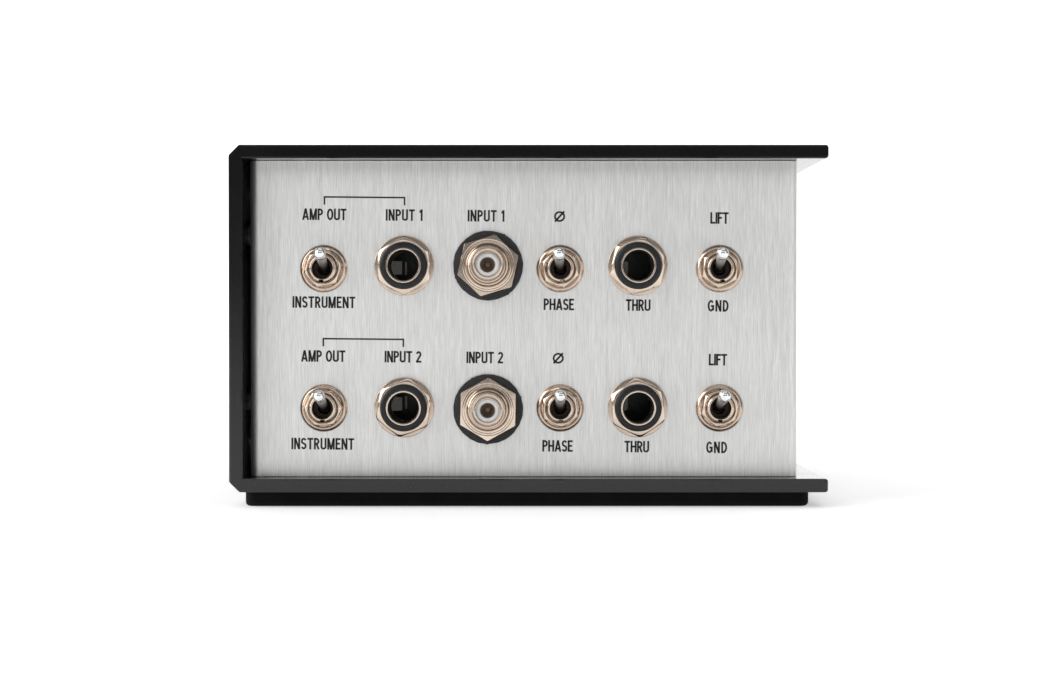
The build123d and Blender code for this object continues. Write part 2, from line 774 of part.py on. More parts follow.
def xlr_shell():
    """Flange and round body in one casting, with a guide rib inside the cavity."""
    half_w, half_h = xlr_flange_width / 2, xlr_flange_height / 2
    flange = block(-half_w, half_w, -half_h, half_h, 0, xlr_flange_thickness)
    flange = fillet(flange.edges().filter_by(Axis.Z), 3.0)
    flange = chamfer(flange.faces().sort_by(Axis.Z)[-1].edges(), 0.4)
    shell = flange + disc(xlr_body_radius, -xlr_body_depth, 0.1)
    shell -= disc(xlr_cavity_radius, -xlr_insert_depth, xlr_flange_thickness + 1)
    shell -= disc(xlr_cavity_radius - 1.2, -xlr_body_depth - 1, 0)
    wide = xlr_cavity_radius + 0.8
    mouth = Cone(xlr_cavity_radius, wide, 0.8, align=(Align.CENTER, Align.CENTER, Align.MAX))
    shell -= Pos(0, 0, xlr_flange_thickness) * mouth
    key = xlr_key_width / 2
    roof = xlr_cavity_radius - xlr_key_height
    shell += block(-key, key, roof, xlr_cavity_radius + 0.6, -xlr_cavity_depth, 0)
    for s in (1, -1):
        hole = disc(screw_radius + hole_gap, -1, 1) + xlr_screw_head(hole_gap)
        shell -= Pos(s * xlr_screw_x, s * xlr_screw_y, 0) * hole
    return shell


def xlr_screw_head(grow=0.0):
    """The countersunk head of a flange screw, flush with the flange."""
    return Pos(0, 0, xlr_flange_thickness) * countersunk_screw(grow=grow)


def make_xlrs():
    """Two three-pin male outputs on the rear panel."""
    insert = disc(xlr_cavity_radius, -xlr_insert_depth, -xlr_cavity_depth)
    pins = []
    tip = xlr_flange_thickness - xlr_pin_recess
    edge = 0.6
    for x, y in xlr_pin_spots():
        insert -= Pos(x, y, 0) * disc(xlr_pin_radius, -30, 0)
        pin = turned(
            (0, -xlr_cup_depth),
            (xlr_pin_radius, -xlr_cup_depth),
            (xlr_pin_radius, tip - edge),
            (xlr_pin_radius - edge, tip),
            (0, tip),
        )
        pins.append(Pos(x, y, 0) * pin)
    shell = xlr_shell()
    nut_top = -sheet
    nut_bottom = nut_top - xlr_nut_thickness
    nut = hexagon(xlr_nut_flats, nut_bottom, nut_top) - disc(screw_radius + thread_gap, nut_bottom - 1, 0)
    spots = [Pos(s * xlr_screw_x, s * xlr_screw_y, 0) for s in (1, -1)]
    places = [rear_place(x, middle_z) for x in xlr_columns]
    screw = xlr_screw_head()
    keep("xlr_shells", [place * shell for place in places])
    keep("xlr_inserts", [place * insert for place in places])
    keep("xlr_pins", [place * pin for place in places for pin in pins])
    keep("xlr_screws", [place * spot * screw for place in places for spot in spots])
    keep("xlr_nuts", [place * spot * nut for place in places for spot in spots])


# ---- boards and transformers ----
def make_input_board():
    """The board behind the jacks, drilled for every pin that is soldered to it."""
    left, right = chassis_left + board_inset + 1, chassis_right - board_inset - 1
    front_y, back_y = front - input_board_top, front - input_board_bottom
    board = block(left, right, front_y, back_y, board_low, board_high)
    drill = disc(pin_drill_radius, input_board_bottom - 1, input_board_top + 1)
    for row, z in enumerate(toggle_rows):
        for column, x in enumerate(toggle_columns):
            place = front_place(x, z, toggle_turns[row][column])
            for i in (-1, 1):
                for j in (-1, 0, 1):
                    board -= place * Pos(i * terminal_pitch_x / 2, j * terminal_pitch_y, 0) * drill
    for z in jack_rows:
        for x in jack_columns:
            for i in (-1, 1):
                for j in (-1, 1):
                    spot = Pos(i * jack_pin_spacing_x / 2, j * jack_pin_spacing_y / 2, 0)
                    board -= front_place(x, z) * spot * drill
    return board


def resistor():
    """Body and two bent leads, lying along x on a board whose face is z = 0, parts below."""
    axis_z = -resistor_radius - 0.6
    body = Pos(0, 0, axis_z) * Rot(0, 90, 0) * Cylinder(resistor_radius, resistor_length)
    body = fillet(body.edges().filter_by(GeomType.CIRCLE), 0.4)
    corners = [(-lead_reach, 0, 0), (-lead_reach, 0, axis_z), (lead_reach, 0, axis_z), (lead_reach, 0, 0)]
    staple = FilletPolyline(*corners, radius=3 * lead_radius)
    lead = sweep(Plane(origin=corners[0], z_dir=(0, 0, -1)) * Circle(lead_radius), staple)
    return body + lead


def capacitor():
    """A moulded film capacitor standing off the board on two leads, parts below z = 0."""
    x, y, z = capacitor_size
    body = block(-x / 2, x / 2, -y / 2, y / 2, -z - 0.3, -0.3)
    body = fillet(body.edges().filter_by(Axis.Z), 0.6)
    for s in (1, -1):
        body += Pos(0, s * (y / 2 - 1.5), 0) * disc(lead_radius, -1, 0)
    return body


def make_components():
    """A ladder of resistors behind each RCA socket and two film capacitors per row."""
    face = Pos(0, 0, input_board_bottom)
    resistors, capacitors = [], []
    for z in rca_rows:
        for i in range(resistor_count):
            offset = (i - (resistor_count - 1) / 2) * resistor_pitch
            resistors.append(front_place(rca_column, z + offset) * face * resistor())
    for z in rows:
        for x in (toggle_columns[1] + 9.0, jack_columns[0] - 10.0):
            capacitors.append(front_place(x, z) * face * capacitor())
    keep("resistors", resistors)
    keep("capacitors", capacitors)


def make_transformer_board():
    """The board that carries both transformers, on four standoffs from the right wall."""
    board = block(transformer_face, transformer_board_x, transformer_board_start,
                  transformer_board_end, board_low, board_high)
    for y, z in standoffs_at:
        board -= wall_place(y, z) * disc(screw_radius + hole_gap, -3, 1)
    return board


def make_transformers():
    """Two shielded transformers: a drawn can over a laminated core and its coil."""
    cup = tube(can_radius, can_radius - can_wall, 0, can_length)
    cup += disc(can_radius, can_length - can_wall, can_length)
    cup = fillet(cup.faces().sort_by(Axis.Z)[-1].edges(), 0.5)
    gap = (can_length - can_wall - core_length) / 2
    x, y = core_width / 2, core_stack / 2
    core = block(-x, x, -y, y, gap, gap + core_length)
    leg = core_leg / 2
    for s in (1, -1):
        near, far = sorted((s * leg, s * (x - core_yoke)))
        core -= block(near, far, -y - 1, y + 1, gap + core_yoke, gap + core_length - core_yoke)
    coil_x, coil_y = coil_width / 2, coil_height / 2
    coil = block(-coil_x, coil_x, -coil_y, coil_y, gap + core_yoke + 0.3, gap + core_length - core_yoke - 0.3)
    coil = fillet(coil.edges().filter_by(Axis.Z), 1.5)
    coil -= block(-leg - 0.1, leg + 0.1, -y - 0.1, y + 0.1, 0, can_length)
    places = [wall_place(transformer_y, z) for z in transformer_rows]
    keep("transformer_cans", [place * cup for place in places])
    keep("transformer_cores", [place * core for place in places])
    keep("transformer_coils", [place * coil for place in places])


def make_standoffs():
    """Standoffs pressed flush into the right wall, board screws and the ground lug."""
    board_back = -board_thickness
    wall_face = board_back - standoff_height
    post = hexagon(standoff_flats, wall_face, board_back) + disc(
        standoff_flats / 2 - 0.4, wall_face - sheet, wall_face + 1
    )
    post -= disc(screw_radius + thread_gap, wall_face + 1, 1)
    keep("board_standoffs", [wall_place(y, z) * post for y, z in standoffs_at])
    lug_thickness = 0.6
    screws = []
    for i, (y, z) in enumerate(standoffs_at):
        seat = lug_thickness if i == 0 else 0.0
        screw = disc(board_screw_head_radius, seat, seat + board_screw_head_height)
        screw += disc(screw_radius, seat - 7, seat + 0.1)
        screw = screw - block(-2.0, 2.0, -0.35, 0.35, seat + 1.0, seat + 3)
        screws.append(wall_place(y, z) * screw)
    keep("board_screws", screws)
    y, z = standoffs_at[0]
    lug = tube(3.2, screw_radius + hole_gap, 0, lug_thickness)
    lug += block(2.6, 6.5, -1.2, 1.2, 0, lug_thickness)
    lug += Pos(8.0, 0, 1.0) * Rot(0, 90, 0) * Cylinder(1.3, 4.0)
    keep("ground_lug", [wall_place(y, z) * lug])


# ---- wires held inside the box ----
def wire(*points):
    """A round wire of straight runs joined by tangent arcs, along points in the box's frame."""
    runs = [(Vector(b) - Vector(a)).length for a, b in zip(points, points[1:])]
    corners = []
    for i in range(1, len(points) - 1):
        before = Vector(points[i]) - Vector(points[i - 1])
        after = Vector(points[i + 1]) - Vector(points[i])
        half_turn = radians(before.get_angle(after) / 2)
        slope = sin(half_turn) / cos(half_turn)
        corners.append(0.45 * min(runs[i - 1], runs[i]) / slope)
    path = FilletPolyline(*points, radius=corners) if corners else Line(*points)
    start = Plane(origin=path @ 0, z_dir=path % 0)
    return sweep(start * Circle(wire_radius), path)


def make_wires():
    """The leads of each channel: RCA to input board, board to transformer, then to the XLR."""
    board_near = front - input_board_top
    board_far = front - input_board_bottom
    tail_y = front - rca_tail_end
    tag_y = front - rca_flange_top + wire_radius
    for row, z in enumerate(rca_rows):
        tag_z = z - rca_tag_length + 0.9
        drop = z - rca_tag_length + 2.0
        solids = [
            wire((rca_column, tail_y, z), (rca_column, tail_y + 4, z),
                 (rca_column + 4, tail_y + 9, z + 1.5), (rca_column + 4, board_near, z + 1.5)),
            wire((rca_column, tag_y + 0.01, tag_z), (rca_column, tag_y + 8, drop - 1),
                 (rca_column - 3, tag_y + 16, drop + 1), (rca_column - 3, board_near, drop + 1)),
        ]
        feed_x = toggle_columns[2] - 6.5
        for k, lift in enumerate((4.0, -4.0)):
            y_end = transformer_board_start + 10
            solids.append(
                wire((feed_x, board_far, z + lift), (feed_x, board_far + 6, z + lift),
                     (feed_x + 5, y_end - 4, z + lift + 1), (transformer_face - 5, y_end, z + lift + 1),
                     (transformer_face, y_end, z + lift + 1))
            )
        base_z = transformer_rows[row]
        cup_y = rear - xlr_cup_depth
        for k, (px, pz) in enumerate(xlr_pin_spots()):
            start_x = xlr_columns[row] - px
            start_z = middle_z + pz
            lane = cup_y - 8 - 2.2 * k
            end_y = transformer_board_end - 8 - 2.2 * k
            end_z = base_z + 4.0 * (1 - k) * (1 if row == 0 else -1)
            solids.append(
                wire((start_x, cup_y, start_z), (start_x, cup_y - 4, start_z),
                     (start_x + 6, lane, (start_z + end_z) / 2),
                     (transformer_face - 7, end_y, end_z), (transformer_face, end_y, end_z))
            )
        keep(f"channel_{row + 1}_wires", solids)


# ---- build and write ----
keep("outer_shell", [make_outer_shell()])
keep("base_pad", [make_base_pad()])
keep("chassis", [make_chassis()])
make_fasteners()
make_toggles()
make_jacks()
make_rcas()
make_xlrs()
keep("input_board", [make_input_board()])
make_components()
keep("transformer_board", [make_transformer_board()])
make_transformers()
make_standoffs()
make_wires()

os.makedirs("parts", exist_ok=True)
for node, shape in parts.items():
    export_step(shape, f"parts/{node}.step")
print(len(parts), "nodes")
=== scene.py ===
import json
import math

import bpy
import numpy as np
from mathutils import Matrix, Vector


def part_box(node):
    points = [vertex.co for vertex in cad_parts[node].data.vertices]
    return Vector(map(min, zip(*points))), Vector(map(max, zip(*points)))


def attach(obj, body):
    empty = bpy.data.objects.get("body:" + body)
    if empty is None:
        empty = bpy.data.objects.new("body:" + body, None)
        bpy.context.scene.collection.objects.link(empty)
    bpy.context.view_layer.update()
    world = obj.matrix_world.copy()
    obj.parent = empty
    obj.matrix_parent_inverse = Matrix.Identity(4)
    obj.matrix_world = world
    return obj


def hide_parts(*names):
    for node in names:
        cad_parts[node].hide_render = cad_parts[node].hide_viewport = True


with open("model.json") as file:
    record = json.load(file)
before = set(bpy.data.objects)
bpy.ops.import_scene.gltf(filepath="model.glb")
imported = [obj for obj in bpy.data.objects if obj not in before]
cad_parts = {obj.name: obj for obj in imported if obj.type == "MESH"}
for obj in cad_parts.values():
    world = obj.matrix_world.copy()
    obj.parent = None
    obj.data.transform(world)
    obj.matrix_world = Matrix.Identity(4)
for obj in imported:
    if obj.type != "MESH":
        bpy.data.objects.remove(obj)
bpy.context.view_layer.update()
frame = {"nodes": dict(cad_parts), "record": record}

MM = 0.001
TURN = 2 * math.pi
RECORD = frame["record"]
NODES = frame["nodes"]
MOUNTS = {mount["name"]: np.array(mount["pos_m"]) / MM for mount in RECORD["mounts"]}
JOINTS = {joint["name"]: joint for joint in RECORD["behaviour"]["joints"]}


# ---- places, in millimetres, read from the frame ----
ROWS = (1, 2)
SWITCHES = ("pad", "phase", "lift")
JACKS = ("input", "thru")
# the input panel's outer face is the front of the chassis
PANEL_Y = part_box("chassis")[0][1] / MM


def panel_spot(x, z):
    """A place on the input panel's outer face."""
    return np.array([x, PANEL_Y, z])


def jack_spot(kind, row):
    """Where a jack's axis meets the panel."""
    mount = MOUNTS[f"{kind}_jack_{row}"]
    return panel_spot(mount[0], mount[2])


def rca_spot(row):
    """Where an RCA socket's axis meets the panel."""
    mount = MOUNTS[f"rca_barrel_{row}"]
    return panel_spot(mount[0], mount[2])


def switch_spot(kind, row):
    """Where a switch's axis meets the panel, and how far the switch is turned, in radians."""
    joint = JOINTS[f"{kind}_switch_{row}"]
    place = np.array(joint["pos_m"]) / MM
    return panel_spot(place[0], place[2]), math.atan2(-joint["axis"][2], joint["axis"][0])


# ---- surfaces ----
def new_piece(name, points, faces, material, sharp):
    """A mesh from points in millimetres and faces, smooth except across edges over sharp degrees."""
    mesh = bpy.data.meshes.new(name)
    mesh.from_pydata(np.asarray(points) * MM, [], faces)
    mesh.validate()
    mesh.polygons.foreach_set("use_smooth", np.ones(len(mesh.polygons), bool))
    mesh.set_sharp_from_angle(angle=math.radians(sharp))
    mesh.materials.append(material)
    piece = bpy.data.objects.new(name, mesh)
    bpy.context.scene.collection.objects.link(piece)
    return piece


def grid_faces(rows, columns, wrap_rows=False, wrap_columns=False, start=0):
    """Quads of a rows x columns grid of points, joined end to end where it wraps."""
    r = np.arange(rows if wrap_rows else rows - 1)
    c = np.arange(columns if wrap_columns else columns - 1)
    a = (r[:, None] * columns + c[None]).ravel()
    b = (r[:, None] * columns + (c[None] + 1) % columns).ravel()
    d = (((r[:, None] + 1) % rows) * columns + c[None]).ravel()
    e = (((r[:, None] + 1) % rows) * columns + (c[None] + 1) % columns).ravel()
    return (np.stack([a, b, e, d], 1) + start).tolist()


def joined(*parts):
    """One (points, faces) from several, with face numbers moved along."""
    points, faces, start = [], [], 0
    for part_points, part_faces in parts:
        points.append(np.asarray(part_points).reshape(-1, 3))
        faces += [[i + start for i in face] for face in part_faces]
        start += len(points[-1])
    return np.concatenate(points), faces


def ring_solid(profile, sides=96, radius_of=None, height_of=None):
    """A closed profile of (radius, height) rows carried round z, counter-clockwise in (r, h).

    radius_of(angle, r, h) and height_of(angle, r, h), both on whole arrays, reshape it.
    """
    profile = np.asarray(profile, float)
    angle = np.arange(sides) * TURN / sides
    a, r = np.meshgrid(angle, profile[:, 0], indexing="ij")
    h = np.broadcast_to(profile[:, 1], r.shape)
    radius = r if radius_of is None else radius_of(a, r, h)
    height = h if height_of is None else height_of(a, r, h)
    points = np.stack([radius * np.cos(a), radius * np.sin(a), height], -1).reshape(-1, 3)
    return points, grid_faces(sides, len(profile), wrap_rows=True, wrap_columns=True)


def turned_solid(profile, sides):
    """A profile from pole to pole of (radius, height) rows carried round z, with closed poles.

    The first and last rows lie on the axis; the profile runs from the low pole to the high one.
    """
    profile = np.asarray(profile, float)
    inner = profile[1:-1]
    angle = np.arange(sides) * TURN / sides
    a, radius = np.meshgrid(angle, inner[:, 0], indexing="ij")
    height = np.broadcast_to(inner[:, 1], radius.shape)
    points = np.stack([radius * np.cos(a), radius * np.sin(a), height], -1).reshape(-1, 3)
    count = len(inner)
    faces = grid_faces(sides, count, wrap_rows=True)
    low, high = len(points), len(points) + 1
    points = np.concatenate([points, [[0, 0, profile[0, 1]], [0, 0, profile[-1, 1]]]])
    first = np.arange(sides) * count
    after = np.roll(first, -1)
    faces += np.stack([np.full(sides, low), after, first], 1).tolist()
    faces += np.stack([np.full(sides, high), first + count - 1, after + count - 1], 1).tolist()
    return points, faces


def arc(centre, radius, start, end, steps):
    """Points of a circular arc in (radius, height), angles in degrees."""
    t = np.radians(np.linspace(start, end, steps))
    return np.stack([centre[0] + radius * np.cos(t), centre[1] + radius * np.sin(t)], 1)


def rounded(points, radii, steps=4):
    """A closed outline whose corners are replaced by tangent arcs of the given radii."""
    points = np.asarray(points, float)
    radii = np.broadcast_to(radii, len(points))
    out = []
    for i, corner in enumerate(points):
        before, after = points[i - 1] - corner, points[(i + 1) % len(points)] - corner
        before, after = before / np.linalg.norm(before), after / np.linalg.norm(after)
        if radii[i] <= 0:
            out.append(corner[None])
            continue
        half = math.acos(np.clip(before @ after, -1, 1)) / 2
        reach = radii[i] / math.tan(half)
        middle = (before + after) / np.linalg.norm(before + after)
        centre = corner + middle * radii[i] / math.sin(half)
        one, two = corner + before * reach - centre, corner + after * reach - centre
        sweep = math.atan2(one[0] * two[1] - one[1] * two[0], one @ two)
        t = np.linspace(0, sweep, steps)[:, None]
        across = np.array([-one[1], one[0]])
        out.append(centre + one * np.cos(t) + across * np.sin(t))
    return np.concatenate(out)


def placed(solid, spot, turn=0.0, tilt=0.0, pivot=0.0):
    """Moves (points, faces) from a panel part's own frame to its spot on the input panel.

    The own frame has x right, y up and z out of the panel. The part is first tilted about its
    own x at height pivot, then turned clockwise about z, both in radians.
    """
    points, faces = solid
    x, y, z = (points[:, 0], points[:, 1], points[:, 2] - pivot)
    y, z = y * math.cos(tilt) - z * math.sin(tilt), y * math.sin(tilt) + z * math.cos(tilt) + pivot
    x, y = x * math.cos(turn) + y * math.sin(turn), y * math.cos(turn) - x * math.sin(turn)
    return np.stack([spot[0] + x, spot[1] - z, spot[2] + y], 1), faces


# ---- materials ----
class Value:
    """A socket of a node tree, so that shader maths reads as arithmetic."""

    tree = None

    def __init__(self, socket):
        self.socket = socket

    @classmethod
    def node(cls, kind, settings=(), inputs=(), output=0):
        """One node: its settings first, then the values or links of its sockets."""
        node = cls.tree.nodes.new(kind)
        for key, value in dict(settings).items():
            setattr(node, key, value)
        for key, value in dict(inputs).items():
            if isinstance(value, Value):
                cls.tree.links.new(value.socket, node.inputs[key])
            else:
                node.inputs[key].default_value = value
        return cls(node.outputs[output])

    def maths(self, operation, other):
        """A Math node on this value and another."""
        return Value.node("ShaderNodeMath", {"operation": operation}, {0: self, 1: other})

    def __add__(self, other):
        return self.maths("ADD", other)

    def __radd__(self, other):
        return self.maths("ADD", other)

    def __sub__(self, other):
        return self.maths("SUBTRACT", other)

    def __rsub__(self, other):
        return Value.node("ShaderNodeMath", {"operation": "SUBTRACT"}, {0: other, 1: self})

    def __mul__(self, other):
        return self.maths("MULTIPLY", other)

    def __rmul__(self, other):
        return self.maths("MULTIPLY", other)

    def clamped(self):
        """This value held between 0 and 1."""
        return self.maths("MAXIMUM", 0.0).maths("MINIMUM", 1.0)

    def step_up(self, start, end):
        """Rises smoothly from 0 at start to 1 at end."""
        return Value.node("ShaderNodeMapRange", {"interpolation_type": "SMOOTHSTEP"},
                          {"Value": self, "From Min": start, "From Max": end})


def rgba(colour):
    """A colour with its alpha, or a Value as it is."""
    return colour if isinstance(colour, Value) else (*colour, 1.0)


def place(scale=(1, 1, 1)):
    """Object coordinates, stretched."""
    coordinates = Value.node("ShaderNodeTexCoord", output="Object")
    return Value.node("ShaderNodeMapping", {}, {"Vector": coordinates, "Scale": scale})


def along(axis):
    """The object coordinate along X, Y or Z, in metres."""
    return Value.node("ShaderNodeSeparateXYZ", {}, {0: place()}, output=axis)


def noise(vector, scale, detail=2.0, roughness=0.5):
    """Cloud noise about 0.5, with scale in repeats per metre."""
    return Value.node("ShaderNodeTexNoise", {"noise_dimensions": "3D"},
                      {"Vector": vector, "Scale": scale, "Detail": detail, "Roughness": roughness})


def mixed(factor, first, second):
    """A colour between two colours; the colour sockets of a Mix node are 6 and 7, its result 2."""
    inputs = {0: factor, 6: rgba(first), 7: rgba(second)}
    return Value.node("ShaderNodeMix", {"data_type": "RGBA"}, inputs, output=2)


def bump(height, distance, strength):
    """A bump whose height is in units of distance, in metres."""
    return Value.node("ShaderNodeBump", {}, {"Height": height, "Distance": distance, "Strength": strength})


def finish(name, build, constants):
    """A material of one shader: build() gives its varying inputs, constants the fixed ones."""
    material = bpy.data.materials.new(name)
    material.use_nodes = True
    tree = material.node_tree
    tree.nodes.clear()
    Value.tree = tree
    output = tree.nodes.new("ShaderNodeOutputMaterial")
    shader = tree.nodes.new("ShaderNodeBsdfPrincipled")
    tree.links.new(shader.outputs[0], output.inputs[0])
    for key, value in constants.items():
        shader.inputs[key].default_value = value
    for key, value in build().items():
        tree.links.new(value.socket, shader.inputs[key])
    return material


# painted light from the pale floor on the shell's lower part, and the extra dust there, fade out at this
# height, in metres
PAINTED_FLOOR_LIGHT_AND_DUST_TOP_Z = 0.088


def black_plate():
    """Fine-textured black coating, painted lighter toward the bottom to stand in for light from the pale
    floor, with dust specks that also thicken toward the bottom.
    """
    grit = noise(place(), 9000, 3, 0.6)
    patches = noise(place(), 60, 4)
    dust = noise(place(), 2600, 2).step_up(0.62, 0.80)
    # low rises toward the bottom: it drives painted light from the pale floor and a heavier dusting
    low = along("Z").step_up(PAINTED_FLOOR_LIGHT_AND_DUST_TOP_Z, 0.0)
    # shade: random patches and grit, plus painted floor light that grows toward the bottom
    shade = (patches - 0.5) * 0.3 + (grit - 0.5) * 0.4 + low * 0.75 + 0.02
    colour = mixed(shade.clamped(), (0.0012, 0.0012, 0.0013), (0.026, 0.0265, 0.028))
    # dust specks, laid on more thickly toward the bottom, which adds to the painted floor light there
    colour = mixed(dust * (low * 0.4 + 0.12), colour, (0.07, 0.07, 0.07))
    return {
        "Base Color": colour,
        "Roughness": 0.13 + (patches - 0.5) * 0.07 + (grit - 0.5) * 0.05,
        "Normal": bump(grit, 0.00002, 0.25),
    }


def pad_rubber():
    """Matte black rubber with a fine pebble and pale dust."""
    pebble = noise(place(), 5200, 4, 0.6)
    worn = noise(place(), 140, 4, 0.6)
    dust = noise(place(), 3000, 3, 0.7).step_up(0.62, 0.78)
    colour = mixed(worn.step_up(0.35, 0.7), (0.0012, 0.0012, 0.0012), (0.004, 0.004, 0.0038))
    colour = mixed(dust * 0.25, colour, (0.05, 0.05, 0.047))
    return {
        "Base Color": colour,
        "Roughness": 0.72 + (pebble - 0.5) * 0.2,
        "Normal": bump(pebble, 0.00006, 0.7),
    }


def brushed_sheet():
    """Aluminium brushed up and down: long thin streaks of several widths along z."""
    fine = noise(place((1, 1, 0.03)), 8500, 3, 0.75)
    middle = noise(place((1, 1, 0.025)), 4400, 3, 0.7)
    broad = noise(place((1, 1, 0.02)), 420, 3, 0.5)
    cloud = noise(place(), 25, 2)
    tone = (fine - 0.5) * 1.3 + (middle - 0.5) * 1.1 + (broad - 0.5) * 0.15 + 0.5
    colour = mixed(tone.clamped(), (0.62, 0.62, 0.612), (1.0, 1.0, 0.99))
    grain = fine * 0.6 + middle * 0.4
    return {
        "Base Color": colour,
        "Roughness": 0.47 + (middle - 0.5) * 0.25 + (cloud - 0.5) * 0.06,
        "Normal": bump(grain, 0.000012, 0.8),
    }


def nickel(tint=(0.73, 0.61, 0.505), roughness=0.13):
    """Nickel plate with a warm cast, faint turning marks and small dull spots."""
    def build():
        dull = noise(place(), 1500, 3, 0.6)
        small = noise(place(), 12000, 2, 0.6)
        tone = noise(place(), 300, 2)
        colour = mixed(tone.step_up(0.3, 0.7), tuple(0.88 * t for t in tint), tint)
        return {
            "Base Color": colour,
            "Roughness": roughness + (dull - 0.5) * 0.14 + (small - 0.5) * 0.05,
            "Normal": bump(dull * 0.6 + small * 0.4, 0.000010, 0.55),
        }
    return build


# behind its tip a lever turns dull and is painted grey, and where it enters its bushing it is painted dark
# as shade, in metres along y
BAT_BRIGHT_Y, BAT_DULL_Y, BAT_ROOT_Y = ((PANEL_Y - out) * MM for out in (12.0, 10.6, 1.5))


def lever_chrome():
    """Bright plate at the tip; toward the panel the shank is duller and worn, painted grey in place of its
    dim reflection, and painted near black as shade where it enters its bushing.
    """
    y = along("Y")
    shank = y.step_up(BAT_BRIGHT_Y, BAT_DULL_Y)
    painted_root_shade = y.step_up(BAT_DULL_Y, BAT_ROOT_Y)
    worn = noise(place(), 1600, 3, 0.6)
    small = noise(place(), 12000, 2, 0.6)
    # the shank's grey is painted, standing in for the dim reflection it shows, with worn mottling over it
    grey = mixed(worn.step_up(0.3, 0.7), (0.30, 0.285, 0.27), (0.52, 0.50, 0.475))
    # near the bushing the colour falls to near black: painted shade where the lever enters it
    colour = mixed(shank, (0.86, 0.865, 0.875), mixed(painted_root_shade, grey, (0.085, 0.07, 0.06)))
    return {
        "Base Color": colour,
        "Metallic": 1.0 - shank * 0.65,
        "Roughness": 0.09 + shank * 0.28 + (worn - 0.5) * 0.10,
        "Normal": bump(worn * 0.6 + small * 0.4, 0.000010, 0.5),
    }


def moulded(colour, roughness, grain=0.00002, spread=0.35):
    """Moulded plastic with a faint cast texture and slight mottling."""
    def build():
        texture = noise(place(), 7000, 3, 0.6)
        mottle = noise(place(), 900, 3)
        dark = tuple(c * (1 - spread) for c in colour)
        light = tuple(min(1.0, c * (1 + spread)) for c in colour)
        return {
            "Base Color": mixed(mottle.step_up(0.3, 0.7), dark, light),
            "Roughness": roughness + (mottle - 0.5) * 0.16,
            "Normal": bump(texture, grain, 0.6),
        }
    return build


def plated(colour, roughness, scratch=0.00001):
    """Plain plated or drawn metal with fine scratches and uneven dulling."""
    def build():
        scratches = noise(place((1, 1, 0.08)), 5000, 3, 0.6)
        cloud = noise(place(), 500, 3)
        dark = tuple(0.78 * c for c in colour)
        return {
            "Base Color": mixed(cloud.step_up(0.3, 0.72), dark, colour),
            "Roughness": roughness + (cloud - 0.5) * 0.16 + (scratches - 0.5) * 0.08,
            "Normal": bump(scratches, scratch, 0.6),
        }
    return build


def solder_mask():
    """Green board lacquer over faint copper tracks."""
    tracks = Value.node("ShaderNodeTexWave", {"wave_type": "BANDS", "bands_direction": "DIAGONAL"},
                        {"Vector": place(), "Scale": 120.0, "Distortion": 3.0, "Detail": 1.0})
    speck = noise(place(), 4000, 2)
    line = tracks.step_up(0.62, 0.7)
    return {
        "Base Color": mixed(line * 0.7, (0.006, 0.055, 0.02), (0.012, 0.13, 0.05)),
        "Roughness": 0.32 + (speck - 0.5) * 0.15,
        "Normal": bump(line, 0.00003, 0.5),
    }


LAYERS_PER_METRE = 3000


def laminations():
    """Stacked dark steel sheets seen from the side."""
    layer = Value.node("ShaderNodeTexNoise", {"noise_dimensions": "1D"},
                       {"W": along("Y") * LAYERS_PER_METRE, "Scale": 1.0})
    return {
        "Base Color": mixed(layer, (0.10, 0.09, 0.085), (0.30, 0.28, 0.26)),
        "Roughness": 0.4 + (layer - 0.5) * 0.2,
        "Normal": bump(layer, 0.00005, 0.6),
    }


def sweep_paper():
    """Near-white seamless paper with a whisper of mottle, which glows more far behind the object."""
    mottle = noise(place(), 3, 2)
    y = along("Y")
    near = mixed(y.step_up(0.12, 0.9), (0.78, 0.78, 0.78), (0.96, 0.96, 0.96))
    return {
        "Base Color": mixed(mottle, (0.86, 0.86, 0.86), (0.90, 0.90, 0.90)),
        "Emission Color": mixed(y.step_up(0.8, 1.3), near, (1.65, 1.65, 1.65)),
        "Roughness": 0.9 + (mottle - 0.5) * 0.05,
    }


